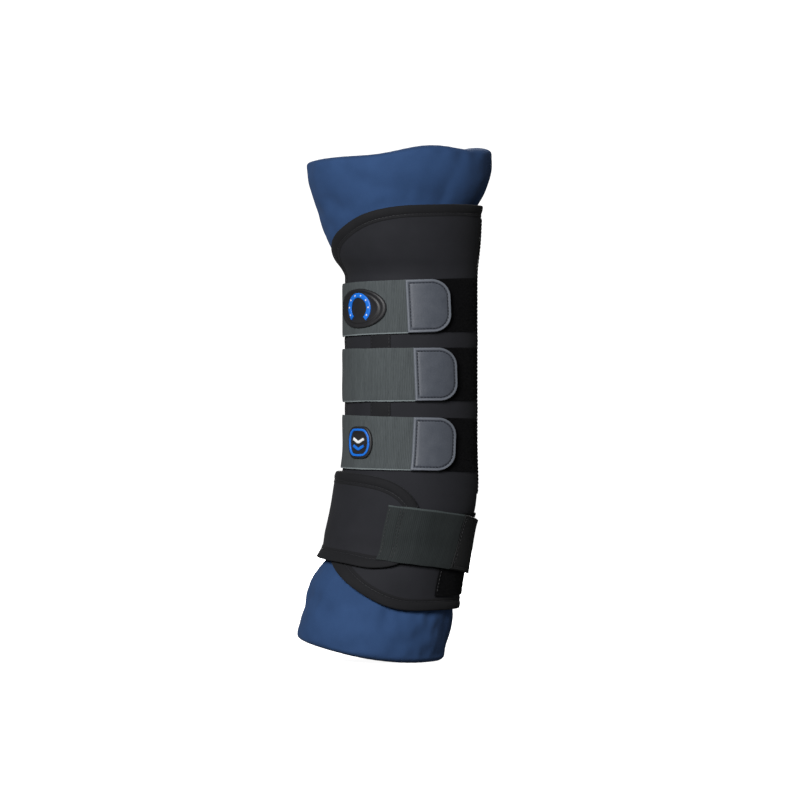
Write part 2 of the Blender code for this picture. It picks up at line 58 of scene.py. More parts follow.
camera = bpy.data.objects.new("camera", bpy.data.cameras.new("camera"))
camera.data.sensor_width = LENS_SENSOR * 1000
camera.data.lens = LENS_SENSOR * 1000 * EYE_DISTANCE / PICTURE_WIDTH
camera.data.clip_end = 50.0
camera.location = (PICTURE_CENTRE[0], -EYE_DISTANCE, PICTURE_CENTRE[1])
camera.rotation_euler = (math.pi / 2, 0.0, 0.0)
bpy.context.collection.objects.link(camera)
bpy.context.scene.camera = camera
bpy.context.scene.view_settings.view_transform = "Standard"


def add_lamp(name, place, target, size, power):
    """A square soft light at a place, turned to face a target."""
    lamp = bpy.data.objects.new(name, bpy.data.lights.new(name, "AREA"))
    lamp.data.shape = "SQUARE"
    lamp.data.size = size
    lamp.data.energy = power
    lamp.location = place
    way = np.array(target) - np.array(place)
    lamp.rotation_euler = (
        math.acos(-way[2] / np.linalg.norm(way)),
        0.0,
        math.atan2(way[1], way[0]) - math.pi / 2,
    )
    bpy.context.collection.objects.link(lamp)


BOOT_MIDDLE = (0.0, 0.0, 0.24)
add_lamp("key_light", (-0.95, -2.65, 1.25), BOOT_MIDDLE, 1.0, 104.0)
add_lamp("fill_light", (2.4, -1.2, 0.5), BOOT_MIDDLE, 1.5, 2.0)
add_lamp("back_light", (0.2, 2.9, 1.0), BOOT_MIDDLE, 1.2, 60.0)

room = bpy.data.worlds.new("pale_room")
room.use_nodes = True
room.node_tree.nodes["Background"].inputs["Color"].default_value = (1.0, 1.0, 1.0, 1.0)
room.node_tree.nodes["Background"].inputs["Strength"].default_value = 0.10
bpy.context.scene.world = room


def add_faces(name, points, faces, finish, uv=None):
    """A mesh of quads or triangles, turned so that its faces look out, in one finish."""
    corners = points[faces]
    fans = [(0, 1, 2), (0, 2, 3)] if faces.shape[1] == 4 else [(0, 1, 2)]
    volume = sum(
        np.einsum("ij,ij->", corners[:, a], np.cross(corners[:, b], corners[:, c]))
        for a, b, c in fans
    )
    if volume < 0:
        faces = faces[:, ::-1]
    mesh = bpy.data.meshes.new(name)
    mesh.vertices.add(len(points))
    mesh.vertices.foreach_set("co", np.ascontiguousarray(points, np.float32).ravel())
    mesh.loops.add(faces.size)
    mesh.loops.foreach_set("vertex_index", np.ascontiguousarray(faces, np.int32).ravel())
    mesh.polygons.add(len(faces))
    mesh.polygons.foreach_set("loop_start", np.arange(len(faces), dtype=np.int32) * faces.shape[1])
    mesh.update(calc_edges=True)
    if uv is not None:
        layer = mesh.uv_layers.new(name="along")
        layer.data.foreach_set("uv", np.ascontiguousarray(uv[faces.ravel()], np.float32).ravel())
    mesh.validate()
    mesh.shade_smooth()
    mesh.set_sharp_from_angle(angle=math.radians(50))
    mesh.materials.append(finish)
    piece = bpy.data.objects.new(name, mesh)
    bpy.context.collection.objects.link(piece)
    return piece


def grid_faces(columns, rows, ring=False):
    """Corner numbers of the quads of a grid of points; ring joins its last row to its first."""
    i, j = np.meshgrid(np.arange(columns - 1), np.arange(rows if ring else rows - 1), indexing="ij")
    k = (j + 1) % rows
    quads = np.stack([i * rows + j, (i + 1) * rows + j, (i + 1) * rows + k, i * rows + k], axis=-1)
    return quads.reshape(-1, 4)


class Value:
    """A socket in a material, on which ordinary sums add the Math nodes."""

    def __init__(self, finish, socket):
        self.finish = finish
        self.socket = socket

    def sum_with(self, operation, *others):
        """Adds one Math node."""
        return self.finish.node("ShaderNodeMath", {"operation": operation}, *others)

    def __add__(self, other):
        return self.sum_with("ADD", self, other)

    def __sub__(self, other):
        return self.sum_with("SUBTRACT", self, other)

    def __rsub__(self, other):
        return self.sum_with("SUBTRACT", other, self)

    def __mul__(self, other):
        return self.sum_with("MULTIPLY", self, other)

    def __truediv__(self, other):
        return self.sum_with("DIVIDE", self, other)

    __radd__ = __add__
    __rmul__ = __mul__

    def wave(self, pitch):
        """A smooth wave from 0 to 1 that repeats once each pitch."""
        return self.sum_with("SINE", self * (2 * math.pi / pitch)) * 0.5 + 0.5


class Finish:
    """A material and its one Principled shader."""

    def __init__(self, name, roughness, **fixed):
        self.material = bpy.data.materials.new(name)
        self.material.use_nodes = True
        self.tree = self.material.node_tree
        self.shader = self.tree.nodes["Principled BSDF"]
        self.shader.inputs["Roughness"].default_value = roughness
        for socket, value in fixed.items():
            self.shader.inputs[socket.replace("_", " ")].default_value = value

    def feed(self, socket, value):
        """Links a value to a socket, or sets the socket to a number or colour."""
        if isinstance(value, Value):
            self.tree.links.new(value.socket, socket)
        elif isinstance(value, tuple) and len(value) == 3 and socket.type == "RGBA":
            socket.default_value = (*value, 1.0)
        else:
            socket.default_value = value

    def node(self, kind, settings, *inputs, out=0, **named):
        """Adds a node, sets it, then feeds its sockets in order or by name."""
        node = self.tree.nodes.new(kind)
        for name, value in settings.items():
            setattr(node, name, value)
        for socket, value in zip(node.inputs, inputs):
            self.feed(socket, value)
        for name, value in named.items():
            self.feed(node.inputs[name.replace("_", " ")], value)
        return Value(self, node.outputs[out])

    def place(self):
        """Position on the piece, in metres."""
        return self.node("ShaderNodeTexCoord", {}, out="Object")

    def along(self):
        """Length and width along the piece's own cloth, in metres."""
        uv = self.node("ShaderNodeUVMap", {"uv_map": "along"})
        parts = self.node("ShaderNodeSeparateXYZ", {}, uv).socket.node
        return Value(self, parts.outputs[0]), Value(self, parts.outputs[1])

    def noise(self, scale, detail=2.0, vector=None):
        """Soft random spots, as many to a metre as the scale."""
        vector = vector or self.place()
        return self.node("ShaderNodeTexNoise", {}, Vector=vector, Scale=scale, Detail=detail)

    def colour(self, share, low, high):
        """A colour between two, by a share."""
        mixed = self.node("ShaderNodeMix", {"data_type": "RGBA"}, out=2)
        node = mixed.socket.node
        self.feed(node.inputs[0], share)
        self.feed(node.inputs[6], low)
        self.feed(node.inputs[7], high)
        return mixed

    def show(self, base, height=None, depth=0.0001, rough=None):
        """Feeds the shader its colour, a bump of a depth in metres and a roughness."""
        self.feed(self.shader.inputs["Base Color"], base)
        if rough is not None:
            self.feed(self.shader.inputs["Roughness"], rough)
        if height is not None:
            bump = self.node("ShaderNodeBump", {}, Height=height, Distance=depth, Strength=1.0)
            self.feed(self.shader.inputs["Normal"], bump)
        return self.material


def add_backdrop():
    """White card that lies flat under the boot and curves up behind it, as one sheet."""
    run = np.linspace(-7.0, 7.0, 3)
    bend = np.radians(np.linspace(0, 90, 24))
    radius = 2.0
    back = 4.0
    profile = np.concatenate([
        [[-7.0, 0.0]],
        np.stack([back + radius * np.sin(bend), radius - radius * np.cos(bend)], axis=-1),
        [[back + radius, 8.0]],
    ])
    points = np.array([[x, y, z - 0.0005] for x in run for y, z in profile])
    finish = Finish("white_card", 0.9, Emission_Strength=0.95)
    finish.shader.inputs["Emission Color"].default_value = (1.0, 1.0, 1.0, 1.0)
    sweep = add_faces("backdrop", points, grid_faces(len(run), len(profile)), finish.show((0.93, 0.93, 0.93)))
    sweep.visible_diffuse = False
    sweep.visible_glossy = False


add_backdrop()

# ------------------------------------------------------------------ liner
# A thick padded sleeve that wraps the leg edge to edge at the front: navy brushed cloth over
# wadding. Straps press it thin in the middle, and it swells out above and below the shell.
# Everything else lies on the shape of its outside, an oval that changes up the leg.
HEIGHT = 0.4655
CANNON_WIDTH = 0.108
CANNON_DEPTH = 0.094
FLARE_ROUNDNESS = 0.82
RIM_SLOPE = 0.070
SOLE_SLOPE = 0.128
LINER_FRONT = 178.4
LINER_THICKNESS = 0.019
LINER_LOFT = 0.30
HEEL_TAPER = 0.27
LINING = 0.0022

# Share of height, and how far the front and the back stand out from the straight cannon.
OUTLINE = np.array([
    (0.000, 0.0490, -0.0170), (0.054, 0.0490, -0.0167), (0.080, 0.0467, -0.0164),
    (0.114, 0.0417, -0.0160), (0.160, 0.0362, -0.0132), (0.189, 0.0264, -0.0110),
    (0.211, 0.0182, -0.0094), (0.254, 0.0134, -0.0060), (0.301, 0.0087, -0.0008),
    (0.344, 0.0050, 0.0008), (0.387, 0.0010, 0.0004), (0.430, 0.0000, 0.0000),
    (0.700, 0.0000, 0.0000), (0.747, 0.0000, 0.0000), (0.763, 0.0036, 0.0004),
    (0.782, 0.0116, 0.0016), (0.817, 0.0212, 0.0032), (0.852, 0.0272, 0.0040),
    (0.880, 0.0312, 0.0050), (0.905, 0.0346, 0.0100), (0.933, 0.0385, 0.0152),
    (0.968, 0.0407, 0.0168), (1.000, 0.0407, 0.0168),
])


def curve_through(known, values, position):
    """Hermite curve through values, whose slope at each is the mean slope round it."""
    slopes = np.gradient(values, known)
    flat = np.isclose(np.diff(values), 0.0)
    slopes[:-1][flat] = 0.0
    slopes[1:][flat] = 0.0
    position = np.clip(position, known[0], known[-1])
    i = np.clip(np.searchsorted(known, position, side="right") - 1, 0, len(known) - 2)
    span = known[i + 1] - known[i]
    t = (position - known[i]) / span
    start = values[i] * (1 + 2 * t) * (1 - t) ** 2 + slopes[i] * span * t * (1 - t) ** 2
    end = values[i + 1] * t ** 2 * (3 - 2 * t) - slopes[i + 1] * span * t ** 2 * (1 - t)
    return start + end


def section(height):
    """Centre, half width and half depth of the oval at a height."""
    share = np.asarray(height) / HEIGHT
    front = -CANNON_WIDTH / 2 - curve_through(OUTLINE[:, 0], OUTLINE[:, 1], share)
    back = CANNON_WIDTH / 2 + curve_through(OUTLINE[:, 0], OUTLINE[:, 2], share)
    half_width = (back - front) / 2
    half_depth = CANNON_DEPTH / 2 + FLARE_ROUNDNESS * (half_width - CANNON_WIDTH / 2)
    return (front + back) / 2, half_width, half_depth


def wrap(angle, height, distance):
    """Points at angles round the leg (degrees from the back, outer side negative) off the oval."""
    centre, half_width, half_depth = section(height)
    turn = np.radians(angle)
    x = centre + (half_width + distance) * np.cos(turn)
    y = (half_depth + distance) * np.sin(turn)
    return np.stack(np.broadcast_arrays(x, y, height), axis=-1)


def liner_depth(height):
    """Thickness of the padding at a height."""
    return LINER_THICKNESS + LINER_LOFT * np.maximum(section(height)[1] - CANNON_WIDTH / 2, 0.0)


def edge_line(angles, shares):
    """Height of an edge of the shell or the wing, at any angle on either side of the leg."""
    angles, shares = np.array(angles, float), np.array(shares)

    def height_at(angle):
        turned = np.abs((np.asarray(angle) + 180.0) % 360.0 - 180.0)
        return HEIGHT * curve_through(angles, shares, turned)
    return height_at


shell_top = edge_line(
    (0, 60, 95, 114, 130, 148, 162, 172, 177),
    (0.886, 0.884, 0.878, 0.866, 0.846, 0.820, 0.792, 0.768, 0.745),
)
shell_bottom = edge_line(
    (0, 57, 75, 87, 106, 120, 143, 160, 177),
    (0.102, 0.102, 0.104, 0.113, 0.138, 0.160, 0.191, 0.212, 0.226),
)


def hump(value, middle, width):
    """A smooth bump of height 1 round a middle."""
    return np.exp(-(((value - middle) / width) ** 2))


# Slow waves of the top end: angle, reach round the leg, rise.
RIM_WAVES = ((-70, 24, 0.0034), (-34, 18, -0.0022), (-105, 22, -0.0015),
             (70, 35, 0.0020), (130, 25, -0.0025))
SOLE_SAG = 0.0062


def rim_line(angle):
    """Height of the top end: a plane that climbs to the back, with the soft cloth's own waves."""
    centre, half_width, _ = section(HEIGHT)
    x = centre + half_width * np.cos(np.radians(angle))
    height = HEIGHT - RIM_SLOPE * (centre + half_width - x)
    for middle, reach, rise in RIM_WAVES:
        height = height + rise * hump(angle, middle, reach)
    return height


def sole_line(angle):
    """Height of the bottom end, which sags on the two broad sides."""
    centre, half_width, _ = section(0.0)
    x = centre + half_width * np.cos(np.radians(angle))
    return SOLE_SLOPE * (centre + half_width - x) - SOLE_SAG * np.sin(np.radians(angle)) ** 2


# Tucks in the cloth where the bindings pinch it: angle, length, depth.
TUCKS = ((-124, 0.016, 0.0034), (-112, 0.010, 0.0018), (-83, 0.014, 0.0036), (-74, 0.009, 0.0016),
         (-47, 0.011, 0.0030), (-60, 0.008, 0.0012), (-25, 0.012, 0.0020), (20, 0.012, 0.0026),
         (58, 0.015, 0.0032), (90, 0.012, 0.0024), (128, 0.014, 0.0030))
TOP_TUCKS = ((-150, 0.020, 0.0016), (-100, 0.016, 0.0012), (-58, 0.018, 0.0016), (-20, 0.016, 0.0020),
             (35, 0.018, 0.0020), (80, 0.018, 0.0018), (125, 0.020, 0.0018))


def waves(a, b, seed, count, pitch):
    """Gentle unevenness: a sum of a few sine waves in seeded random directions, about -1 to 1."""
    dice = np.random.default_rng(seed)
    total = np.zeros(np.broadcast(a, b).shape)
    for _ in range(count):
        turn, phase = dice.uniform(0, 2 * math.pi, 2)
        length = pitch * dice.uniform(0.7, 1.6)
        total += np.sin(2 * math.pi * (a * math.cos(turn) + b * math.sin(turn)) / length + phase)
    return total / math.sqrt(count)


def cover_swell(angle, height):
    """How far the cloth stands out from the oval.

    It fills out past each binding, with tucks, and draws in towards the heel at the bottom.
    """
    above = np.maximum(height - shell_top(angle), 0.0)
    below = np.maximum(shell_bottom(angle) - height, 0.0)
    side = 1 - 0.75 * hump(np.abs(angle), 180, 35)
    swell = side * (0.0030 * (1 - np.exp(-below / 0.007)) + 0.0016 * (1 - np.exp(-above / 0.010)))
    swell = swell - HEEL_TAPER * below * hump(angle, 0, 60)
    for past, tucks in ((below, TUCKS), (above, TOP_TUCKS)):
        for middle, length, depth in tucks:
            lean = middle + 60.0 * past
            swell = swell - depth * hump(angle, lean, 2.6 + 260 * past) * np.exp(-past / length) * (past > 0)
    around = np.radians(angle) * 0.06
    loose = np.minimum(1.0, (above + below) / 0.02)
    broad, fine = waves(around, height, 3, 9, 0.055), waves(around, height, 8, 9, 0.018)
    return swell + loose * (0.0009 * broad + 0.00035 * fine)


def cloth_finish(name, dark, light, sheen):
    """Brushed cloth: a slow mottle, a nap of fine fibres and a soft sheen."""
    finish = Finish(name, 0.88, Sheen_Weight=sheen, Sheen_Roughness=0.45, Specular_IOR_Level=0.25)
    finish.shader.inputs["Sheen Tint"].default_value = (0.35, 0.50, 0.85, 1.0)
    mottle = finish.noise(38.0, 4.0)
    nap = finish.noise(1700.0, 3.0)
    share = mottle * 0.65 + nap * 0.35
    return finish.show(finish.colour(share, dark, light), mottle * 0.4 + nap * 0.6, 0.00022)


NAVY_DARK = (0.0130, 0.0370, 0.1020)
NAVY_LIGHT = (0.0330, 0.0800, 0.2000)
navy_cloth = cloth_finish("navy_brushed_cloth", NAVY_DARK, NAVY_LIGHT, 0.10)


PAD_PRESSURE = 4.0
PAD_SPARE_CLOTH = 0.014
PAD_FRAMES = 20
PAD_MOST_MOVE = 0.0035
PAD_HOLDS = 20
ROLL_UP = 0.0055
ROLL_DOWN = 0.0065


def inflate(pad, free):
    """Cloth simulation: the skin, cut a little too large, is blown up where it is free.

    free is 0 where the cloth is held (under the shell and inside) and 1 where it is loose. No
    point moves further than a cap, so the pad keeps to its place.
    """
    start = np.zeros(len(free) * 3, np.float32)
    pad.data.vertices.foreach_get("co", start)
    held = pad.vertex_groups.new(name="held")
    for level in range(PAD_HOLDS + 1):
        spots = np.flatnonzero(np.round((1 - free) * PAD_HOLDS).astype(int) == level)
        held.add(spots.tolist(), level / PAD_HOLDS, "REPLACE")
    cloth = pad.modifiers.new("cloth", "CLOTH")
    cloth.settings.quality = 4
    cloth.settings.mass = 0.15
    cloth.settings.bending_stiffness = 0.4
    cloth.settings.use_pressure = True
    cloth.settings.uniform_pressure_force = PAD_PRESSURE
    cloth.settings.shrink_min = -PAD_SPARE_CLOTH
    cloth.settings.effector_weights.gravity = 0.0
    cloth.settings.vertex_group_mass = "held"
    cloth.collision_settings.use_collision = False
    cloth.collision_settings.use_self_collision = False
    scene = bpy.context.scene
    for number in range(1, PAD_FRAMES + 1):
        scene.frame_set(number)
    blown = np.zeros_like(start)
    result = pad.evaluated_get(bpy.context.evaluated_depsgraph_get())
    result.data.vertices.foreach_get("co", blown)
    scene.frame_set(1)
    pad.modifiers.remove(cloth)
    pad.vertex_groups.clear()
    move = (blown - start).reshape(-1, 3)
    size = np.linalg.norm(move, axis=1)
    move *= (np.minimum(size, PAD_MOST_MOVE) / np.maximum(size, 1e-9) * np.sqrt(free))[:, None]
    pad.data.vertices.foreach_set("co", (start.reshape(-1, 3) + move).ravel())
    pad.data.update()


def add_liner_pad():
    """The sleeve's skin, one ring carried round the leg.

    The ring goes up the outside, rolls over the top, comes down the inside and rolls under
    the bottom; the last few angles at the front draw it in to a rounded edge.
    """
    turns = np.concatenate([
        -LINER_FRONT + np.array([0.0, 0.25, 0.8, 1.8, 3.2]),
        np.linspace(-LINER_FRONT + 5.0, LINER_FRONT - 5.0, 108),
        LINER_FRONT - np.array([3.2, 1.8, 0.8, 0.25, 0.0]),
    ])
    roll = np.radians(np.linspace(0, 180, 17))
    up = np.linspace(0.0, 1.0, 80)
    angle = turns[:, None]
    drawn = np.sqrt(np.clip(1 - (1 - np.clip((LINER_FRONT - np.abs(angle)) / 5.0, 0, 1)) ** 2, 0.02, 1))
    top, sole = rim_line(angle), sole_line(angle)
    out_height = sole + ROLL_DOWN + (top - ROLL_UP - sole - ROLL_DOWN) * up
    out_distance = cover_swell(angle, out_height)
    deep = -liner_depth(out_height) + LINING
    middle, half = (out_distance + deep) / 2, (out_distance - deep) / 2 * drawn
    outside = wrap(angle, out_height, middle + half)
    inside = wrap(angle, out_height, middle - half)[:, ::-1]
    rim = wrap(angle, top - ROLL_UP, middle[:, -1:] + half[:, -1:] * np.cos(roll)[1:-1])
    rim[..., 2] += ROLL_UP * np.sin(roll)[1:-1] ** 0.8
    foot = wrap(angle, sole + ROLL_DOWN, middle[:, :1] - half[:, :1] * np.cos(roll)[1:-1])
    foot[..., 2] -= ROLL_DOWN * np.sin(roll)[1:-1] ** 0.8
    ring = np.concatenate([outside, rim, inside, foot], axis=1)
    past = np.maximum(out_height - shell_top(angle), 0) + np.maximum(shell_bottom(angle) - out_height, 0)
    loose = np.clip((past - 0.001) / 0.005, 0, 1) * np.clip((LINER_FRONT - np.abs(angle)) / 12, 0, 1)
    end = 0.35 * loose[:, -1:] * np.ones(len(roll) - 2)
    free = np.concatenate([loose, end, 0 * loose, end], axis=1)
    ring = np.roll(ring, len(roll) // 2, axis=1)
    free = np.roll(free, len(roll) // 2, axis=1)
    columns, rows = ring.shape[:2]
    j = np.arange(rows // 2 - 1)
    cap = np.stack([j, j + 1, rows - 2 - j, rows - 1 - j], axis=-1)
    quads = np.concatenate([grid_faces(columns, rows, ring=True), cap, cap[:, ::-1] + (columns - 1) * rows])
    pad = add_faces("padded_liner", ring.reshape(-1, 3), quads, navy_cloth)
    inflate(pad, free.ravel())
    smooth = pad.modifiers.new("smooth", "SUBSURF")
    smooth.levels = 1
    smooth.render_levels = 1
    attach(pad, "boot")
    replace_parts(pad, "liner_wadding", "liner_cover", "liner_top_hem", "liner_bottom_hem",
                "liner_outer_front_edge", "liner_inner_front_edge")


add_liner_pad()

# ------------------------------------------------------------------ lining
# Soft dark cloth inside the sleeve, quilted in diamonds to the wadding behind it.
QUILT_PITCH = 0.042
QUILT_RISE = 0.0020


def slab(name, angle, height, distance, thickness, finish, uv=None):
    """A closed sheet of cloth: two grids a thickness apart, with walls round the border."""
    outer = wrap(angle, height, distance + thickness / 2)
    inner = wrap(angle, height, distance - thickness / 2)
    columns, rows = outer.shape[:2]
    count = columns * rows
    number = np.arange(count).reshape(columns, rows)
    border = np.concatenate([number[:-1, 0], number[-1, :-1], number[:0:-1, -1], number[0, :0:-1]])
    after = np.roll(border, -1)
    walls = np.stack([after, border, border + count, after + count], axis=-1)
    face = grid_faces(columns, rows)
    faces = np.concatenate([face, face[:, ::-1] + count, walls])
    points = np.concatenate([outer.reshape(-1, 3), inner.reshape(-1, 3)])
    if uv is not None:
        uv = np.concatenate([uv.reshape(-1, 2)] * 2)
    return add_faces(name, points, faces, finish, uv)


def add_lining():
    """Inner face of the sleeve; the quilting lines are where two slanting waves reach zero."""
    angle = np.linspace(-LINER_FRONT + 1.2, LINER_FRONT - 1.2, 170)[:, None]
    up = np.linspace(0.0, 1.0, 150)[None, :]
    low, high = sole_line(angle) + 0.008, rim_line(angle) - 0.0075
    height = low + (high - low) * up
    round_leg = np.radians(angle) * 0.045
    lean = np.abs(np.sin(math.pi * (round_leg + height) / QUILT_PITCH))
    other = np.abs(np.sin(math.pi * (round_leg - height) / QUILT_PITCH))
    puff = np.minimum(lean, other) ** 0.55 * QUILT_RISE
    thickness = LINING * 0.5 + puff
    distance = -liner_depth(height) + LINING - thickness / 2
    cloth = cloth_finish("dark_quilted_cloth", (0.016, 0.020, 0.034), (0.034, 0.040, 0.062), 0.2)
    lining = slab("quilted_lining", angle, height, distance, thickness, cloth)
    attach(lining, "boot")
    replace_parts(lining, "liner_lining")


add_lining()

# ------------------------------------------------------------------ shell
# Two panels of 3.6 mm neoprene faced with black jersey, joined down the back. Each lies on
# the liner's outside, and its whole border is wrapped in a stitched band.
SHELL_IN = 0.0019
NEOPRENE = 0.0036
SHELL_OUT = SHELL_IN + NEOPRENE
SHELL_FRONT = 177.0
SHELL_BACK = 0.5
BAND_WIDTH = 0.0078
RIDGE_WIDTH = 0.0022
STITCH_PITCH = 0.0034
STITCH_LENGTH = 0.0025
STITCH_RADIUS = 0.00028


def jersey_finish(name, dark, light, lumps=0.0, gloss=0.18):
    """Knitted facing cloth: fine loops under a slow mottle, which also makes lumps."""
    finish = Finish(name, 0.82, Sheen_Weight=0.03, Sheen_Roughness=0.5, Specular_IOR_Level=gloss)
    loops = finish.noise(2100.0, 2.0)
    mottle = finish.noise(45.0, 3.0)
    share = mottle * 0.6 + loops * 0.4
    height = loops + mottle * lumps
    return finish.show(finish.colour(share, dark, light), height, 0.00014)


black_jersey = jersey_finish("black_jersey_neoprene", (0.0105, 0.0108, 0.0135), (0.0230, 0.0236, 0.0285))
band_cloth = jersey_finish("black_binding_cloth", (0.0060, 0.0062, 0.0072), (0.0150, 0.0152, 0.0175))


def thread_finish(name, colour):
    """Bonded sewing thread with a faint twist."""
    finish = Finish(name, 0.55, Specular_IOR_Level=0.4)
    twist = finish.noise(2600.0, 1.0)
    return finish.show(finish.colour(twist, tuple(c * 0.6 for c in colour), colour), twist, 0.00008)


black_thread = thread_finish("black_thread", (0.022, 0.022, 0.025))


def loose_swell(angle, height):
    """Where the shell is not strapped down it lifts a little and rolls in slow waves."""
    share = height / HEIGHT
    free = np.clip((share - 0.755) / 0.05, 0, 1) + np.clip((0.22 - share) / 0.05, 0, 1)
    return 0.0004 * free * waves(np.radians(angle) * 0.065, height, 21, 7, 0.07)


def strap_press(angle, height):
    """Shallow soft ridges of neoprene that stand between the tight straps."""
    share = height / HEIGHT
    gaps = hump(share, 0.6230, 0.010) + hump(share, 0.4905, 0.010) + 0.8 * hump(share, 0.755, 0.014)
    return 0.00035 * gaps * (0.6 + 0.4 * waves(np.radians(angle) * 0.06, height * 0.2, 5, 4, 0.04))


def shell_middle(angle, height):
    """Distance of the neoprene's middle surface from the liner's oval."""
    return SHELL_IN + NEOPRENE / 2 + loose_swell(angle, height) + strap_press(angle, height)


def add_panel(name, side, *nodes):
    """One half of the shell: its rows run between the bottom and the top edge lines."""
    angle = side * np.linspace(SHELL_BACK, SHELL_FRONT - 1.5, 150)[:, None]
    up = np.linspace(0.0, 1.0, 190)[None, :]
    low, high = shell_bottom(angle) + 0.0012, shell_top(angle) - 0.0012
    height = low + (high - low) * up
    panel = slab(name, angle, height, shell_middle(angle, height), NEOPRENE, black_jersey)
    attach(panel, "boot")
    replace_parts(panel, *nodes)


def smooth_path(path, pitch, rounds):
    """A path walked at an even pitch, with its corners rounded by repeated averaging."""
    for _ in range(2):
        step = np.linalg.norm(np.diff(path, axis=0), axis=1)
        gone = np.concatenate([[0.0], np.cumsum(step)])
        even = np.linspace(0.0, gone[-1], max(8, int(gone[-1] / pitch)))
        path = np.stack([np.interp(even, gone, path[:, k]) for k in range(2)], axis=-1)
        for _ in range(rounds):
            path[1:-1] = (path[:-2] + 2 * path[1:-1] + path[2:]) / 4
    return path


FLAT_RADIUS = 0.060


def true_scale(path):
    """Real length per unit of flat length round the leg, which grows where the boot flares."""
    _, half_width, half_depth = section(path[..., 1])
    turn = path[..., 0] / FLAT_RADIUS
    over, out = (half_width + SHELL_OUT) * np.sin(turn), (half_depth + SHELL_OUT) * np.cos(turn)
    return np.hypot(over, out) / FLAT_RADIUS


def band_places(path, reach):
    """Angle and height of points at reaches inward of a flat path (angle times radius, height)."""
    scale = true_scale(path)
    along = np.gradient(path, axis=0)
    along[:, 0] *= scale
    along /= np.linalg.norm(along, axis=1, keepdims=True)
    step_x, step_z = -along[:, 1] / scale, along[:, 0]
    flat_x = path[:, :1] + step_x[:, None] * reach
    flat_z = path[:, 1:] + step_z[:, None] * reach
    return np.degrees(flat_x / FLAT_RADIUS), flat_z


def band_profile(width, thick):
    """Cross-section of a stitched band: reach inward and height off the middle surface.

    It rounds over the raw edge, runs flat, dips at the stitching and ends in a narrow ridge.
    """
    half = thick / 2
    turn = np.radians(np.linspace(-90, 90, 9))
    nose_reach = 0.0010 - 0.0014 * np.cos(turn)
    nose_rise = (half + 0.0006) * np.sin(turn)
    past = np.array([-0.0022, -0.0012, -0.0005, 0.0, 0.0005, 0.0011, RIDGE_WIDTH, RIDGE_WIDTH + 0.0009])
    reach = np.concatenate([[0.0026, 0.0042], width + past])
    rise = half + np.array([0.0009, 0.0010, 0.0008, 0.0005, 0.0001, -0.0001, 0.0001, 0.0005, 0.0004, -0.0003])
    front = np.stack([np.concatenate([nose_reach, reach]), np.concatenate([nose_rise, rise])], axis=-1)
    back = np.array([[width, -half - 0.0002], [width / 2, -half - 0.0004], [0.0026, -half - 0.0005]])
    return np.concatenate([front, back])


def tube_faces(stations, sides):
    """Triangles of a tube of points: rings of quads, each cut in two, and a fan over either end."""
    quads = grid_faces(stations, sides, ring=True)
    fan = np.array([(0, k, k + 1) for k in range(1, sides - 1)])
    far_fan = fan[:, ::-1] + (stations - 1) * sides
    return np.concatenate([quads[:, [0, 1, 2]], quads[:, [0, 2, 3]], fan, far_fan])


def add_band(name, path, middle, thick, finish):
    """Carries the band's cross-section along an edge, and closes its two ends."""
    profile = band_profile(BAND_WIDTH, thick)
    angle, height = band_places(path, profile[:, 0][None, :])
    points = wrap(angle, height, middle(angle, height) + profile[:, 1][None, :])
    return add_faces(name, points.reshape(-1, 3), tube_faces(*points.shape[:2]), finish)


def tubes(name, starts, ways, ups, reach, rise, girth, sides, finish):
    """Many small tubes of one shape, as one mesh.

    Each leaves its start along its own way by the given reaches (shares of the way), rises
    off the surface by the given rises, and has a girth (radius) at each of those stations.
    """
    up = ups / np.linalg.norm(ups, axis=1, keepdims=True)
    length = np.linalg.norm(ways, axis=1, keepdims=True)
    side = np.cross(ways / length, up)
    side /= np.linalg.norm(side, axis=1, keepdims=True)
    ahead = np.cross(up, side)
    lean = np.stack([-np.gradient(rise), np.gradient(reach) * length.mean()], axis=-1)
    lean /= np.maximum(np.linalg.norm(lean, axis=1, keepdims=True), 1e-9)
    across = ahead[:, None] * lean[None, :, :1] + up[:, None] * lean[None, :, 1:]
    turn = np.radians(np.arange(sides) * 360.0 / sides)
    ring = side[:, None, None] * np.cos(turn)[None, None, :, None]
    ring = ring + across[:, :, None] * np.sin(turn)[None, None, :, None]
    middle = starts[:, None] + ways[:, None] * reach[None, :, None] + up[:, None] * rise[None, :, None]
    points = middle[:, :, None] + ring * girth[None, :, None, None]
    first = np.arange(len(starts)) * len(reach) * sides
    faces = tube_faces(len(reach), sides)[None] + first[:, None, None]
    return add_faces(name, points.reshape(-1, 3), faces.reshape(-1, 3), finish)


STITCH_REACH = np.array([0.0, 0.12, 0.5, 0.88, 1.0])
STITCH_RISE = np.array([-1.0, 0.55, 0.75, 0.55, -1.0])
STITCH_GIRTH = np.array([0.3, 0.9, 1.0, 0.9, 0.3])


def sew(name, angle, height, distance, finish,
        pitch=STITCH_PITCH, length=STITCH_LENGTH, radius=STITCH_RADIUS):
    """A row of stitches along a line given by angles, heights and distances off the oval."""
    line = wrap(angle, height, distance)
    above = wrap(angle, height, distance + 0.001)
    gone = np.concatenate([[0.0], np.cumsum(np.linalg.norm(np.diff(line, axis=0), axis=1))])
    starts = np.arange(pitch / 2, gone[-1] - length, pitch)

    def at(track, where):
        return np.stack([np.interp(where, gone, track[:, k]) for k in range(3)], axis=-1)
    first, last = at(line, starts), at(line, starts + length)
    return tubes(name, first, last - first, at(above, starts) - first,
                 STITCH_REACH, STITCH_RISE * radius, STITCH_GIRTH * radius, 6, finish)


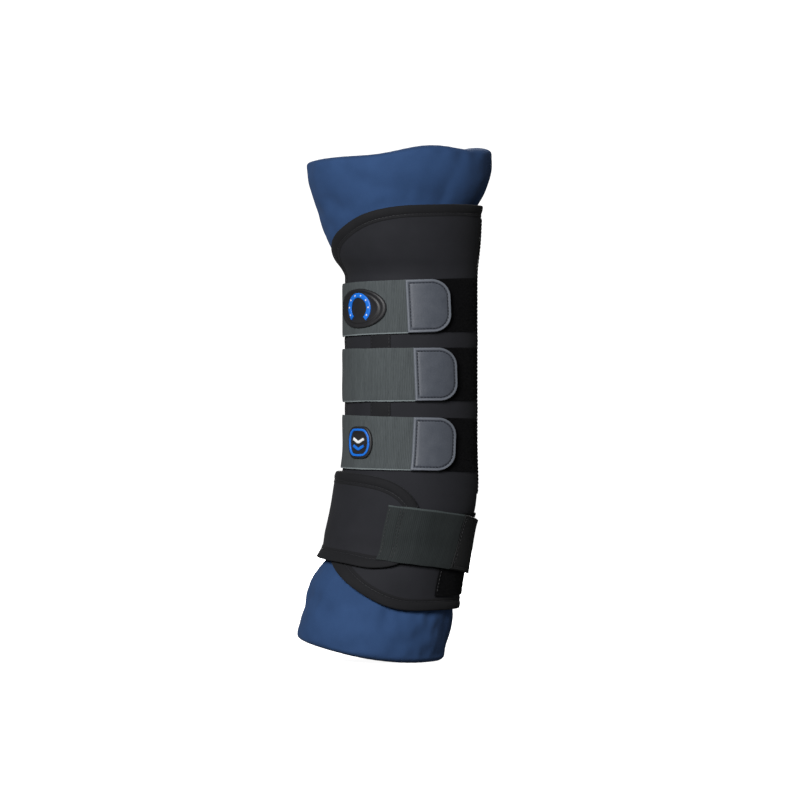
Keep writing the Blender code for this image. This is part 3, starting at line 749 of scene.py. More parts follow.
def border_path(side):
    """Border of one shell panel, flat: along the bottom, up the front, back along the top."""
    out = np.linspace(SHELL_BACK, SHELL_FRONT, 160)
    front = np.linspace(shell_bottom(SHELL_FRONT), shell_top(SHELL_FRONT), 60)
    angle = np.concatenate([out, np.full(58, SHELL_FRONT), out[::-1]])
    height = np.concatenate([shell_bottom(out), front[1:-1], shell_top(out[::-1])])
    path = smooth_path(np.stack([np.radians(angle) * FLAT_RADIUS, height], axis=-1), 0.0018, 14)
    return path * (side, 1.0) if side > 0 else (path * (side, 1.0))[::-1]


def add_shell_half(side, name):
    """One panel with its band round the border and the band's stitches."""
    add_panel(f"{name}_shell", side, f"shell_{name}_panel")
    path = border_path(side)
    band = add_band(f"{name}_shell_binding", path, shell_middle, NEOPRENE, band_cloth)
    angle, height = band_places(path, np.array([[BAND_WIDTH]]))
    angle, height = angle[:, 0], height[:, 0]
    thread = sew(f"{name}_binding_stitches", angle, height,
                 shell_middle(angle, height) + NEOPRENE / 2 + 0.0001, black_thread)
    for piece in (band, thread):
        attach(piece, "boot")
    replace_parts(band, f"{name}_top_binding", f"{name}_bottom_binding", f"{name}_front_binding")


add_shell_half(-1, "outer")
add_shell_half(1, "inner")

# ------------------------------------------------------------------ tapes on the shell
# A flat tape covers the seam down the back, sewn along both edges. A second, wider one runs
# down the outer side under the straps and stiffens the shell there.
TAPE = 0.0006


def add_tape(name, middle_angle, half_angle, low, high, node):
    """A strip of tape up the leg, thinned at its edges, with a row of stitches along each."""
    angle = middle_angle + np.linspace(-half_angle, half_angle, 15)[:, None]
    height = np.linspace(low, high, 160)[None, :]
    distance = shell_middle(angle, height) + NEOPRENE / 2 + 0.0002 + TAPE / 2
    thin = TAPE * np.clip(1.0 - np.abs(np.linspace(-1, 1, 15))[:, None] ** 8 * 0.6, 0.2, 1)
    tape = slab(name, angle, height, distance, thin + 0 * height, band_cloth)
    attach(tape, "boot")
    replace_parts(tape, node)
    for side in (-1, 1):
        line = np.full(300, middle_angle + side * (half_angle - 1.3))
        run = np.linspace(low, high, 300)
        rows = sew(f"{name}_stitches_{'a' if side < 0 else 'b'}", line, run,
                   shell_middle(line, run) + NEOPRENE / 2 + 0.0002 + TAPE, black_thread)
        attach(rows, "boot")


add_tape("rear_seam_cover", 0.0, 5.4, 0.325 * HEIGHT, 0.862 * HEIGHT, "rear_seam_tape")
add_tape("side_tape", -117.7, 9.8, 0.415 * HEIGHT, 0.700 * HEIGHT, "outer_stiffening_tape")

# ------------------------------------------------------------------ loop pile
# Black loop pile, which the tabs grip: a thin woven backing with a nap of small loops.
ON_SHELL = 0.0059
STRAP_WIDTH = 0.048
# Name, share of height at the middle, rise to the back, seam angle, tilt of the seam.
STRAPS = (
    ("top", 0.6885, 0.0030, 92.4, 0.050),
    ("middle", 0.5570, 0.0008, 86.2, 0.040),
    ("lower", 0.4235, -0.0020, 87.7, -0.050),
)
LOOP_GAP = 8.5
LOOP_END = 9.0
NAP_PITCH = 0.0016
NAP_JITTER = 0.35
NAP_INSET = 0.0007
BACKING = 0.0006

loop_cloth = jersey_finish("loop_pile", (0.0014, 0.0014, 0.0018), (0.0045, 0.0046, 0.0054), gloss=0.05)


def strap_line(share, rise):
    """Height of a strap's middle line; on the inner side it levels out again."""
    def middle(angle):
        turned = np.abs(np.asarray(angle, float))
        outer = rise * (1 - np.minimum(turned, 180.0) / 90.0)
        return share * HEIGHT + outer * np.clip(1 - (turned - 180.0) / 30.0, 0, 1)
    return middle


def add_nap(name, angle, height, distance, seed):
    """Small loops that stand up from a backing, each turned its own way."""
    dice = np.random.default_rng(seed)
    starts = wrap(angle, height, distance)
    ups = wrap(angle, height, distance + 0.001) - starts
    drift = dice.normal(size=starts.shape)
    ways = np.cross(ups, drift)
    ways *= (dice.uniform(0.0009, 0.0014, len(ways)) / np.linalg.norm(ways, axis=1))[:, None]
    reach = np.array([0.0, 0.15, 0.5, 0.85, 1.0])
    rise = np.array([-0.0001, 0.00035, 0.00055, 0.00035, -0.0001])
    return tubes(name, starts - ways / 2, ways, ups, reach, rise, np.full(5, 0.00011), 3, loop_cloth)


def nap_grid(angles, low, high, seed):
    """Jittered places for loops between two angles and two edge lines."""
    dice = np.random.default_rng(seed)
    sample = np.linspace(*angles, 9)
    columns = int(np.radians(angles[1] - angles[0]) * 0.058 / NAP_PITCH)
    rows = int(np.max(high(sample) - low(sample)) / NAP_PITCH)
    across, up = (np.indices((columns, rows)) + 0.5) / np.array([columns, rows])[:, None, None]
    across = across + dice.uniform(-NAP_JITTER, NAP_JITTER, across.shape) / columns
    up = up + dice.uniform(-NAP_JITTER, NAP_JITTER, up.shape) / rows
    angle = (angles[0] + (angles[1] - angles[0]) * across).ravel()
    up = up.ravel()
    return angle, low(angle) + (high(angle) - low(angle)) * up


def add_pile(name, angles, low, high, base, node):
    """A panel of loop pile: its backing and the nap on it."""
    angle = np.linspace(*angles, 60)[:, None]
    up = np.linspace(0, 1, 40)[None, :]
    height = low(angle) + (high(angle) - low(angle)) * up
    backing = slab(name, angle, height, base + BACKING / 2 + 0 * height, BACKING, loop_cloth)
    spots = nap_grid((angles[0] + 0.6, angles[1] - 0.6),
                     lambda a: low(a) + NAP_INSET, lambda a: high(a) - NAP_INSET, 31)
    nap = add_nap(f"{name}_nap", *spots, base + BACKING, 32)
    for piece in (backing, nap):
        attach(piece, "boot")
    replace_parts(backing, node)


for strap, share, rise, seam, tilt in STRAPS:
    line = strap_line(share, rise)
    add_pile(f"{strap}_loops", (-(seam - LOOP_GAP), -LOOP_END),
             lambda a, line=line: line(a) - STRAP_WIDTH / 2,
             lambda a, line=line: line(a) + STRAP_WIDTH / 2,
             ON_SHELL, f"{strap}_loop_band")

# ------------------------------------------------------------------ elastic straps
# Ribbed grey elastic, sewn down on the inner side. It runs round the front and carries the tab at its end.
STRAP_IN = 0.0069
ELASTIC = 0.0016
ROOT_END = 142.0
STRAP_RADIUS = 0.0625
LEAN_RADIUS = 0.0636
RIB = 0.0016


def elastic_finish(name, dark, light, edge):
    """Woven elastic: ribs across the strap, flecked yarn, and a paler line along one edge."""
    finish = Finish(name, 0.80, Sheen_Weight=0.03, Sheen_Roughness=0.5, Specular_IOR_Level=0.25)
    along, across = finish.along()
    spread = finish.node("ShaderNodeCombineXYZ", {}, along, across * 0.10, 0.0)
    fleck = finish.noise(1500.0, 2.0, spread)
    streak = finish.noise(260.0, 2.0, spread)
    rib = along.wave(RIB)
    weave = across.wave(0.0009)
    selvedge = finish.node("ShaderNodeMath", {"operation": "MULTIPLY", "use_clamp": True},
                           across * edge - 0.0228, 2600.0)
    share = rib * 0.22 + fleck * 0.55 + streak * 0.45 - 0.12
    yarn = finish.colour(share, dark, light)
    base = finish.colour(selvedge * 0.8, yarn, tuple(c * 2.2 for c in light))
    return finish.show(base, rib * 0.55 + weave * 0.2 + fleck * 0.25, 0.00022)


grey_elastic = elastic_finish("grey_ribbed_elastic", (0.024, 0.029, 0.031), (0.098, 0.112, 0.116), -1.0)


def strap_uv(angle, across):
    """Length round the leg and width from the middle, in metres."""
    return np.stack(np.broadcast_arrays(np.radians(angle) * STRAP_RADIUS, across), axis=-1)


def tilted(angle, across, tilt, front, seam):
    """Angle shifted so that lines across the strap lean by the tilt towards its seam."""
    share = np.clip((angle + front) / (front - seam), 0, 1)
    return angle - np.degrees(across * tilt * share / LEAN_RADIUS)


def add_elastic(name, share, rise, seam, tilt):
    """One strap's elastic, from its root on the inner side to the tab, and the root's stitches."""
    angle = np.linspace(-360.0 + ROOT_END, -seam, 220)[:, None]
    side = np.linspace(-1, 1, 45)[None, :]
    around = np.radians(angle) * STRAP_RADIUS
    across = side * STRAP_WIDTH / 2 * (1 + 0.006 * waves(around, 0.0 * side, len(name), 4, 0.03))
    thickness = ELASTIC * (1 - 0.5 * np.abs(side) ** 16) + 0 * angle
    lean = tilted(angle, across, tilt, 150.0, seam)
    height = strap_line(share, rise)(angle) + across
    lift = 0.00018 * waves(around, across, len(name) + 1, 5, 0.03)
    elastic = slab(f"{name}_strap_elastic", lean, height, STRAP_IN + ELASTIC / 2 + lift, thickness,
                   grey_elastic, strap_uv(angle, across))
    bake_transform(elastic)
    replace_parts(elastic, f"{name}_strap_root", f"{name}_elastic")
    for k, inset in enumerate((2.0, 7.0)):
        side = np.linspace(-STRAP_WIDTH / 2 + 0.002, STRAP_WIDTH / 2 - 0.002, 80)
        line = np.full(80, -360.0 + ROOT_END + inset)
        thread = sew(f"{name}_root_stitches_{k + 1}", line, strap_line(share, rise)(line) + side,
                     STRAP_IN + ELASTIC + 0.0002 + 0 * side, black_thread)
        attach(thread, "boot")


for strap in STRAPS:
    add_elastic(*strap)

# ------------------------------------------------------------------ tabs
# Coated tabs with rounded tips: a raised rim runs all round, just outside a stitched groove.
# Under each lies a pad of small hooks.
TAB_IN = 0.0087
TAB_SKIN = 0.0018
TAB_LENGTH = 0.0395
TAB_BACK = 0.0014
TIP_ALONG = 0.0185
TIP_ACROSS = 0.0160
RIM_WIDTH = 0.0022
GROOVE = 0.0033
HOOK_MARGIN = 0.0035
HOOK_START = 0.0105
HOOK_OUT = 0.0083
HOOK_PITCH = 0.0015
HOOK_BACKING = 0.0004


def coated_finish():
    """Coated cloth: fine leather grain, with a painted highlight that makes it paler along the rim."""
    finish = Finish("blue_grey_coating", 0.46, Specular_IOR_Level=0.45)
    _, inward = finish.along()
    place = finish.place()
    grain = finish.node("ShaderNodeTexVoronoi", {"feature": "SMOOTH_F1"}, Vector=place, Scale=1250.0)
    patch = finish.noise(120.0, 3.0)
    fine = finish.noise(2400.0, 2.0)
    # Painted highlight: within 2.6 mm of the tab's edge the colour is mixed towards pale grey, where the
    # raised rim catches the light.
    rim = finish.node("ShaderNodeMath", {"operation": "MULTIPLY", "use_clamp": True}, 0.0026 - inward, 1500.0)
    share = patch * 0.35 + grain * 0.35
    coat = finish.colour(share, (0.042, 0.049, 0.064), (0.112, 0.123, 0.148))
    base = finish.colour(rim * 0.55, coat, (0.180, 0.195, 0.225))
    return finish.show(base, grain * 0.6 + fine * 0.4, 0.00016, 0.40 + patch * 0.22)


blue_grey = coated_finish()
dark_thread = thread_finish("dark_blue_thread", (0.010, 0.011, 0.018))


def hook_finish():
    """Hard black plastic, slightly speckled."""
    finish = Finish("black_hooks", 0.42, Specular_IOR_Level=0.4)
    speck = finish.noise(1500.0, 1.0)
    return finish.show(finish.colour(speck, (0.006, 0.006, 0.007), (0.014, 0.014, 0.016)))


black_hooks = hook_finish()


def angle_along(seam, length, height, distance):
    """Angle reached by going lengths round the oval from the seam, towards the back."""
    turned = np.radians(np.linspace(-seam - 25.0, 40.0, 1200))
    _, half_width, half_depth = section(height)
    pace = np.hypot((half_width + distance) * np.sin(turned), (half_depth + distance) * np.cos(turned))
    gone = np.concatenate([[0.0], np.cumsum((pace[1:] + pace[:-1]) / 2 * np.diff(turned))])
    zero = np.interp(np.radians(-seam), turned, gone)
    return np.degrees(np.interp(zero + np.asarray(length), gone, turned))


def tab_plan(back, length, half, tip_along, tip_across):
    """Grid over a tab: along, across, and how far inside its outline each point lies."""
    seam_steps = np.array([0.0, 0.0004, 0.0009, 0.0015, 0.0022, 0.0028, 0.0034, 0.0042])
    straight = np.concatenate([back + seam_steps, np.linspace(back + 0.006, length - tip_along, 22)])
    curved = length - tip_along * (1 - np.sin(np.radians(np.linspace(3, 90, 40))))
    along = np.concatenate([straight, curved])[:, None]
    past = np.clip((along - length + tip_along) / tip_along, 0, 1)
    reach = half - tip_across * (1 - np.sqrt(np.maximum(1 - past ** 2, 0)))
    spread = np.linspace(-1, 1, 71)[None, :]
    across = reach * np.sign(spread) * (1 - (1 - np.abs(spread)) ** 1.35)
    along = along + 0 * across
    x = np.clip((along - length + tip_along) / tip_along, 0, None)
    y = np.clip((np.abs(across) - half + tip_across) / tip_across, 0, None)
    depth = np.minimum(half - np.abs(across), length - along)
    depth = np.where((x > 0) & (y > 0), (1 - np.hypot(x, y)) * (tip_along + tip_across) / 2, depth)
    return along, across, np.maximum(np.minimum(depth, along - back), 0.0)


def rim_relief(depth):
    """Surface of the tab by depth inside its outline: round edge, rim, groove, soft middle."""
    edge = np.sqrt(np.clip(1 - (1 - np.clip(depth / 0.0010, 0, 1)) ** 2, 0.05, 1))
    rim = 0.00040 * hump(depth, RIM_WIDTH / 2, 0.0011)
    groove = -0.00055 * hump(depth, GROOVE, 0.00055)
    pad = 0.00030 * (1 - np.exp(-np.maximum(depth - GROOVE, 0) / 0.004))
    return TAB_SKIN * (edge - 1) + rim + groove + pad


def stitch_loop(back, length, half, tip_along, tip_across, inset):
    """Closed line an inset inside a tab's outline: along and across."""
    turn = np.radians(np.linspace(90, 0, 60))
    x = length - tip_along + (tip_along - inset) * np.cos(turn)
    y = half - tip_across + (tip_across - inset) * np.sin(turn)
    low = np.stack([np.linspace(back + inset, length - tip_along, 60), np.full(60, inset - half)], axis=-1)
    tip = np.stack([x, -y], axis=-1)
    line = np.concatenate([low, tip, (tip * (1, -1))[::-1], (low * (1, -1))[::-1]])
    down = np.stack([np.full(60, back + inset), np.linspace(half - inset, inset - half, 60)], axis=-1)
    return np.concatenate([line, down[1:]])


def add_hooks(name, along, across, to_surface, body):
    """Rows of small hooks that stand out of a pad towards the boot."""
    starts = to_surface(along, across, HOOK_OUT)
    ups = to_surface(along, across, HOOK_OUT - 0.001) - starts
    ways = to_surface(along + 0.0009, across, HOOK_OUT) - starts
    sign = np.where(np.arange(len(along)) % 2, 1.0, -1.0)[:, None]
    reach = np.array([0.0, 0.0, 0.20, 0.75, 1.0])
    rise = np.array([-0.0002, 0.00035, 0.00062, 0.00062, 0.00035])
    girth = np.array([0.00017, 0.00013, 0.00012, 0.00011, 0.00007])
    hooks = tubes(name, starts, ways * sign, ups, reach, rise, girth, 4, black_hooks)
    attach(hooks, body)


def add_tab(name, share, rise, seam, tilt):
    """One coated tab with its stitches, and the pad of hooks on its inner face."""
    middle = strap_line(share, rise)
    height = share * HEIGHT
    half = STRAP_WIDTH / 2

    def to_angle(along, across):
        return angle_along(seam, along, height, TAB_IN) - np.degrees(across * tilt / LEAN_RADIUS)

    def to_surface(along, across, distance):
        angle = to_angle(along, across)
        return wrap(angle, middle(angle) + across, distance)

    peel = wrap(-seam + 0.41, height, TAB_IN + TAB_SKIN)
    along, across, depth = tab_plan(-TAB_BACK, TAB_LENGTH, half, TIP_ALONG, TIP_ACROSS)
    angle = to_angle(along, across)
    thickness = TAB_SKIN + rim_relief(depth)
    tab = slab(f"{name}_coated_tab", angle, middle(angle) + across, TAB_IN + thickness / 2, thickness,
               blue_grey, np.stack([along, depth], axis=-1))
    loop = stitch_loop(-TAB_BACK, TAB_LENGTH, half, TIP_ALONG, TIP_ACROSS, GROOVE)
    angle = to_angle(loop[:, 0], loop[:, 1])
    thread = sew(f"{name}_tab_stitches", angle, middle(angle) + loop[:, 1],
                 TAB_IN + TAB_SKIN - 0.00035 + 0 * angle, dark_thread, 0.0030, 0.0022, 0.00034)
    for piece in (tab, thread):
        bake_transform(piece)
    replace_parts(tab, f"{name}_tab")

    along, across, _ = tab_plan(HOOK_START, TAB_LENGTH - HOOK_MARGIN, half - HOOK_MARGIN,
                                TIP_ALONG - HOOK_MARGIN, TIP_ACROSS - HOOK_MARGIN)
    angle = to_angle(along, across)
    pad = slab(f"{name}_hook_backing", angle, middle(angle) + across,
               HOOK_OUT + HOOK_BACKING / 2 + 0 * across, HOOK_BACKING, black_hooks)
    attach(pad, f"{name}_tab_end")
    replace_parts(pad, f"{name}_hook_pad")
    rows = np.arange(HOOK_START + 0.001, TAB_LENGTH - HOOK_MARGIN, HOOK_PITCH)
    files = np.arange(-half + HOOK_MARGIN + 0.001, half - HOOK_MARGIN, HOOK_PITCH)
    x, y = (grid.ravel() for grid in np.meshgrid(rows, files, indexing="ij"))
    past = np.hypot(np.clip((x - TAB_LENGTH + TIP_ALONG) / (TIP_ALONG - HOOK_MARGIN), 0, None),
                    np.clip((np.abs(y) - half + TIP_ACROSS) / (TIP_ACROSS - HOOK_MARGIN), 0, None))
    inside = past < 0.93
    add_hooks(f"{name}_hooks", x[inside], y[inside], to_surface, f"{name}_tab_end")


for strap in STRAPS:
    add_tab(*strap)

# ------------------------------------------------------------------ badges
# Two moulded rubber badges sewn on the straps: an oval with a raised horseshoe, and an
# upright plate with a raised border and two chevrons.
BADGE_ANGLE = 137.5
BADGE_IN = 0.0089
BADGE = 0.0016
MOTIF = 0.0008
OVAL = (0.056, 0.0355)
PLATE = (0.029, 0.029)


def rubber_finish(name, colour, gloss=0.42):
    """Moulded rubber with a very fine pebble."""
    finish = Finish(name, gloss, Specular_IOR_Level=0.4)
    pebble = finish.noise(1900.0, 2.0)
    wear = finish.noise(160.0, 2.0)
    base = finish.colour(wear, tuple(c * 0.8 for c in colour), colour)
    return finish.show(base, pebble, 0.00005, gloss + wear * 0.12)


black_rubber = rubber_finish("black_moulded_rubber", (0.016, 0.016, 0.018))
blue_rubber = rubber_finish("blue_moulded_rubber", (0.010, 0.170, 0.720), 0.34)
white_rubber = rubber_finish("white_moulded_rubber", (0.84, 0.85, 0.86), 0.38)


def badge_ground(share, rise):
    """Bends a flat drawing, in metres round the badge's middle, onto a strap."""
    middle = strap_line(share, rise)(-BADGE_ANGLE)
    _, half_width, half_depth = section(share * HEIGHT)
    turn = math.radians(BADGE_ANGLE)
    bend = math.hypot((half_width + BADGE_IN) * math.sin(turn), (half_depth + BADGE_IN) * math.cos(turn))

    def place(x, z, distance):
        """A drawing's point, at a distance off the boot."""
        return wrap(-BADGE_ANGLE + np.degrees(x / bend), middle + z, distance)
    return place


def badge_piece(piece, strap):
    """Fixes a piece of a badge to its strap."""
    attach(piece, f"{strap}_strap")
    return piece


def add_disc(name, outline, place, finish, relief):
    """A moulded plate: the outline shrunk by shares, each at its own height off the strap."""
    reach, height = np.array(relief).T
    x, z = outline
    points = place(x[None] * reach[:, None], z[None] * reach[:, None], height[:, None] + 0 * x[None])
    return add_faces(name, points.reshape(-1, 3), tube_faces(*points.shape[:2]), finish)


def add_bar(name, path, half, place, finish, low, high):
    """A raised moulded bar of a half width along a flat path, rounded on top."""
    along = np.gradient(path, axis=0)
    along /= np.linalg.norm(along, axis=1, keepdims=True)
    normal = np.stack([-along[:, 1], along[:, 0]], axis=-1)
    side = np.array([-1.0, -1.0, -0.85, -0.45, 0.0, 0.45, 0.85, 1.0, 1.0])
    rise = np.array([0.0, 0.62, 0.90, 1.0, 1.0, 1.0, 0.90, 0.62, 0.0])
    flat = path[:, None] + normal[:, None] * (side * half)[None, :, None]
    points = place(flat[..., 0], flat[..., 1], low + (high - low) * rise[None, :] + 0 * flat[..., 0])
    return add_faces(name, points.reshape(-1, 3), tube_faces(*points.shape[:2]), finish)


def badge_relief(width, top):
    """Shares and heights of a badge: flat field, thin ridge, groove, then its raised rim."""
    rim = 0.0022 / (width / 2)
    return [(0.002, top), (0.5, top), (1 - 2.6 * rim, top), (1 - 2.4 * rim, top + 0.0003),
            (1 - 2.0 * rim, top + 0.0003), (1 - 1.8 * rim, top - 0.0001), (1 - 1.35 * rim, top - 0.0001),
            (1 - 1.1 * rim, top + 0.0005), (1 - 0.6 * rim, top + 0.0006), (1 - 0.15 * rim, top + 0.0003),
            (1.0, top - 0.0005), (1.0, BADGE_IN), (0.002, BADGE_IN)]


BADGE_TOP = BADGE_IN + BADGE - 0.0003


def add_oval_badge():
    """Oval plate on the top strap, with a raised blue horseshoe and its white nail heads."""
    name, share, rise, *_ = STRAPS[0]
    place = badge_ground(share, rise)
    turn = np.radians(np.linspace(0, 360, 128, endpoint=False))
    outline = (OVAL[0] / 2 * np.cos(turn), OVAL[1] / 2 * np.sin(turn))
    plate = add_disc("oval_badge_plate", outline, place, black_rubber, badge_relief(OVAL[1], BADGE_TOP))
    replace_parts(badge_piece(plate, name), "oval_badge")
    turn = np.radians(np.linspace(-50, 230, 90))
    arch = np.stack([0.66 * np.cos(turn) * 0.62 * OVAL[0] / 2, 0.66 * np.sin(turn) * OVAL[1] / 2], axis=-1)
    on_arch = BADGE_TOP + MOTIF
    shoe = add_bar("oval_badge_shoe", arch, 0.0022, place, blue_rubber, BADGE_TOP, on_arch + 0.0003)
    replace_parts(badge_piece(shoe, name), "oval_badge_motif")
    spot = arch[np.linspace(6, 83, 8).round().astype(int)]
    starts = place(spot[:, 0], spot[:, 1], on_arch)
    ups = place(spot[:, 0], spot[:, 1], on_arch + 0.001) - starts
    ways = place(spot[:, 0] + 0.001, spot[:, 1], on_arch) - starts
    rise = np.array([-0.0002, 0.0004, 0.0006, 0.00065])
    girth = np.array([0.00085, 0.00080, 0.00055, 0.0001])
    studs = tubes("oval_badge_studs", starts, ways, ups, np.zeros(4), rise, girth, 8, white_rubber)
    badge_piece(studs, name)


def add_plate_badge():
    """Upright plate on the lower strap, with a raised blue border and a white and a blue chevron."""
    name, share, rise, *_ = STRAPS[2]
    place = badge_ground(share, rise)
    turn = np.radians(np.linspace(0, 360, 128, endpoint=False))
    reach = (np.abs(np.cos(turn)) ** 5 + np.abs(np.sin(turn)) ** 5) ** (-1 / 5)
    x, z = reach * np.cos(turn), reach * np.sin(turn)
    x = x * (1 - 0.28 * z * z)
    outline = (x * PLATE[0] / 2, z * PLATE[1] / 2)
    plate = add_disc("plate_badge", outline, place, black_rubber, badge_relief(PLATE[1], BADGE_TOP))
    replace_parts(badge_piece(plate, name), "crest_badge")
    closed = np.concatenate([np.arange(128), [0, 1]])
    border = np.stack([x[closed] * PLATE[0] / 2, z[closed] * PLATE[1] / 2], axis=-1) * 0.79
    low, high = BADGE_TOP - 0.0001, BADGE_TOP + MOTIF
    rim = add_bar("plate_badge_border", border, 0.0010, place, blue_rubber, low, high + 0.0003)
    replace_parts(badge_piece(rim, name), "crest_badge_rim")
    bars = np.linspace(-1, 1, 31)
    for k, (middle, finish) in enumerate(((0.0032, white_rubber), (-0.0030, blue_rubber))):
        chevron = np.stack([0.0062 * bars, middle - 0.0034 * (1 - np.sqrt(bars ** 2 + 0.01))], axis=-1)
        bar = add_bar(f"plate_badge_chevron_{k + 1}", chevron, 0.0013, place, finish, low, high)
        badge_piece(bar, name)


add_oval_badge()
add_plate_badge()

# ------------------------------------------------------------------ fetlock wrap
# A broad bound wing of neoprene crosses the front of the fetlock from the inner side. Its
# elastic strap runs on round the outer side and ends in a soft tab of hooks.
WING_IN = 0.0072
WING_ROOT = -222.0
WING_END = -80.0

wing_top = edge_line((80, 90, 105, 123, 150, 180), (0.303, 0.330, 0.3515, 0.361, 0.3670, 0.3695))
wing_bottom = edge_line((80, 89, 102, 126, 150, 180), (0.195, 0.1875, 0.1845, 0.1935, 0.199, 0.2035))


def wing_middle(angle, height):
    """Distance of the wing's middle surface, which lies a little loose over the fetlock."""
    around = np.radians(angle) * 0.066
    return WING_IN + NEOPRENE / 2 + 0.00035 * waves(around, height, 12, 6, 0.060)


def wing_path():
    """Border of the wing: along the bottom, up its end and back along the top."""
    out = np.linspace(WING_ROOT, WING_END, 180)
    end = np.linspace(wing_bottom(WING_END), wing_top(WING_END), 30)
    angle = np.concatenate([out, np.full(28, WING_END), out[::-1]])
    height = np.concatenate([wing_bottom(out), end[1:-1], wing_top(out[::-1])])
    return smooth_path(np.stack([np.radians(angle) * FLAT_RADIUS, height], axis=-1), 0.0018, 10)


def add_wing():
    """The wing's panel, its band, the band's stitches and the seam that holds its root."""
    angle = np.linspace(WING_ROOT, WING_END - 1.0, 150)[:, None]
    up = np.linspace(0, 1, 60)[None, :]
    low, high = wing_bottom(angle) + 0.0012, wing_top(angle) - 0.0012
    height = low + (high - low) * up
    wing = slab("fetlock_wing_panel", angle, height, wing_middle(angle, height), NEOPRENE, black_jersey)
    path = wing_path()
    band = add_band("fetlock_wing_binding", path, wing_middle, NEOPRENE, band_cloth)
    line, height = band_places(path, np.array([[BAND_WIDTH]]))
    line, height = line[:, 0], height[:, 0]
    thread = sew("fetlock_binding_stitches", line, height,
                 wing_middle(line, height) + NEOPRENE / 2 + 0.0001, black_thread)
    seam = np.linspace(0.10, 0.90, 90)
    root = np.full(90, WING_ROOT + 3.0)
    height = wing_bottom(root) + (wing_top(root) - wing_bottom(root)) * seam
    hold = sew("fetlock_root_stitches", root, height,
               wing_middle(root, height) + NEOPRENE / 2 + 0.0001, black_thread)
    for piece in (wing, band, thread):
        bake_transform(piece)
    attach(hold, "boot")
    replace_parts(wing, "fetlock_wing", "fetlock_wing_root")
    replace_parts(band, "fetlock_wing_top_binding", "fetlock_wing_bottom_binding")


add_wing()

# ------------------------------------------------------------------ fetlock strap
# Wide soft elastic sewn on the wing in a boxed seam. It steps down off the wing onto the
# loop patch, where its end tab grips with hooks.
END_STRAP = (-103.0, -39.2)
END_WIDTH = 0.049
STRAP_HIGH = 0.0112
STRAP_LOW = 0.0090
SETTLE = (78.0, 24.0)
END_TAB = (-38.6, 10.2)
END_LEAN = 100.0
PATCH = (-48.0, 36.0)
PATCH_TOP = 0.288
END_RADIUS = 0.058
END_HOOKS = (36.0, 0.108)

dark_elastic = elastic_finish("dark_soft_elastic", (0.0070, 0.0095, 0.0100), (0.0270, 0.0330, 0.0335), 1.0)
soft_black = jersey_finish("soft_black_pile", (0.0080, 0.0085, 0.0088), (0.0225, 0.0235, 0.0240), 0.5)


def end_line(angle):
    """Middle of the fetlock strap, which falls towards the back like the pastern."""
    return 0.2495 * HEIGHT - 0.0133 * (1 - np.abs(angle) / 90.0)


def end_height_off(angle):
    """Distance of the strap's inner face: high on the wing, low on the loop patch."""
    share = np.clip((SETTLE[0] - np.abs(angle)) / SETTLE[1], 0, 1)
    share = share * share * (3 - 2 * share)
    return STRAP_HIGH + (STRAP_LOW - STRAP_HIGH) * share


def add_end_strap():
    """The fetlock elastic, pressed in along its boxed seam, and its three rows of stitches."""
    angle = np.linspace(*END_STRAP, 130)[:, None]
    side = np.linspace(-1, 1, 45)[None, :]
    around = np.radians(angle) * STRAP_RADIUS
    across = side * END_WIDTH / 2 * (1 + 0.010 * waves(around, 0 * side, 41, 4, 0.025))
    sewn = np.clip((angle + 93.5) / 1.5, -1, 1)
    lift = 0.00035 * waves(around, across, 42, 6, 0.030) * np.clip((angle + 93) / 12, 0, 1)
    lift = lift - 0.0004 * hump(angle, -93.5, 0.8) - 0.0003 * hump(angle, -91.3, 0.7) + 0.0001 * sewn
    thickness = ELASTIC * (1 - 0.45 * np.abs(side) ** 16) + 0 * angle
    height = end_line(angle) + across
    lean = angle + END_LEAN * across * np.clip((angle + 75) / 30, 0, 1)
    strap = slab("fetlock_strap_elastic", lean, height, end_height_off(angle) + ELASTIC / 2 + lift,
                 thickness, dark_elastic, strap_uv(angle, across))
    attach(strap, "fetlock_wrap")
    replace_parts(strap, "fetlock_elastic")
    run = np.linspace(-END_WIDTH / 2 + 0.002, END_WIDTH / 2 - 0.002, 80)
    for k, turned in enumerate((-101.6, -93.4, -91.2)):
        line = np.full(80, turned)
        thread = sew(f"fetlock_strap_stitches_{k + 1}", line, end_line(line) + run,
                     end_height_off(line) + ELASTIC + 0 * run, black_thread)
        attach(thread, "fetlock_wrap")


def end_surface(along, across, distance):
    """A place on the end tab, by length along it, width across it and distance off the boot."""
    angle = angle_along(END_HOOKS[0], along, END_HOOKS[1], STRAP_LOW)
    return wrap(angle, end_line(angle) + across, distance)


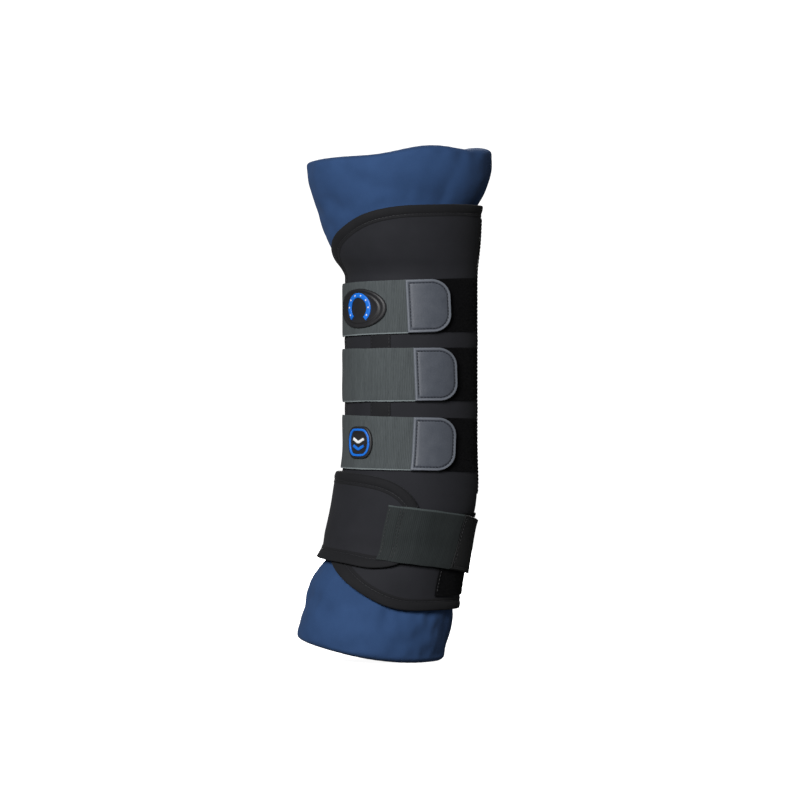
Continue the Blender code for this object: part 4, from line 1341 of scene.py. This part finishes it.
def add_end_tab():
    """The soft end tab, stitched round its border, and the pad of hooks on its inner face."""
    angle = np.linspace(*END_TAB, 130)[:, None]
    side = np.linspace(-1, 1, 51)[None, :]
    along = np.radians(angle - END_TAB[0]) * END_RADIUS
    edge = np.minimum((1 - np.abs(side)) * END_WIDTH / 2, np.minimum(along, along.max() - along))
    thickness = 0.0018 + 0.00025 * hump(edge, 0.0012, 0.0009) - 0.0004 * hump(edge, 0.0030, 0.0005)
    thickness = thickness * np.sqrt(np.clip(1 - (1 - np.clip(edge / 0.0009, 0, 1)) ** 2, 0.08, 1))
    across = side * END_WIDTH / 2
    lean = angle + END_LEAN * across * np.clip((-10 - angle) / 25, 0, 1)
    tab = slab("fetlock_end_pad", lean, end_line(angle) + across,
               STRAP_LOW + thickness / 2, thickness, soft_black)
    inset = END_WIDTH / 2 - 0.0030
    run = np.linspace(END_TAB[0] + 3.0, END_TAB[1] - 3.0, 120)
    rise = np.linspace(-inset, inset, 60)
    line = np.concatenate([run, np.full(60, run[-1]), run[::-1], np.full(60, run[0])])
    offset = np.concatenate([np.full(120, -inset), rise, np.full(120, inset), -rise])
    lean = line + END_LEAN * offset * np.clip((-10 - line) / 25, 0, 1)
    thread = sew("fetlock_end_stitches", lean, end_line(line) + offset,
                 STRAP_LOW + 0.0016 + 0 * line, black_thread)
    for piece in (tab, thread):
        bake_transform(piece)
    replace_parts(tab, "fetlock_end_tab")
    run = np.linspace(0.0035, 0.0485, 50)[:, None]
    across = np.linspace(-END_WIDTH / 2 + HOOK_MARGIN, END_WIDTH / 2 - HOOK_MARGIN, 30)[None, :]
    angle = angle_along(END_HOOKS[0], run, END_HOOKS[1], STRAP_LOW) + 0 * across
    pad = slab("fetlock_hook_backing", angle, end_line(angle) + across,
               0.0087 + 0 * angle, HOOK_BACKING, black_hooks)
    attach(pad, "fetlock_end")
    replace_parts(pad, "fetlock_hook_pad")
    x, y = (grid.ravel() for grid in np.meshgrid(np.arange(0.0045, 0.048, HOOK_PITCH),
                                                 np.arange(-0.020, 0.0205, HOOK_PITCH), indexing="ij"))
    add_hooks("fetlock_hooks", x, y, end_surface, "fetlock_end")


def patch_foot(angle):
    """Height of the loop patch's lower edge, which keeps clear of the shell's band."""
    return shell_bottom(angle) + 0.0125


def patch_head(angle):
    """Height of the loop patch's upper edge, which is level."""
    return PATCH_TOP * HEIGHT + 0 * np.asarray(angle)


def add_loop_patch():
    """The loop patch, and a row of stitches down each of its two ends."""
    add_pile("fetlock_loops", PATCH, patch_foot, patch_head, ON_SHELL + 0.0003, "fetlock_loop_patch")
    run = np.linspace(0, 1, 120)
    for k, turned in enumerate((PATCH[0] + 1.4, PATCH[1] - 1.4)):
        line = np.full(120, turned)
        foot, head = patch_foot(line), patch_head(line)
        height = foot + 0.002 + (head - foot - 0.004) * run
        thread = sew(f"fetlock_loops_stitches_{k + 1}", line, height,
                     ON_SHELL + 0.0013 + 0 * run, black_thread)
        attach(thread, "boot")


add_end_strap()
add_end_tab()
add_loop_patch()

# ------------------------------------------------------------------ liner hooks
# A pad of hooks on each side of the liner's cover, which holds it inside the shell.
LINER_HOOKS = 0.0008

for side, pad in ((-1, "outer"), (1, "inner")):
    spread = side * np.linspace(72.0, 108.0, 40)[:, None]
    level = np.linspace(0.47, 0.64, 50)[None, :] * HEIGHT
    distance = 0.0005 + LINER_HOOKS / 2 + 0 * spread * level
    piece = slab(f"{pad}_liner_hooks", spread, level, distance, LINER_HOOKS, black_hooks)
    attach(piece, "boot")
    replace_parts(piece, f"liner_{pad}_hook_pad")
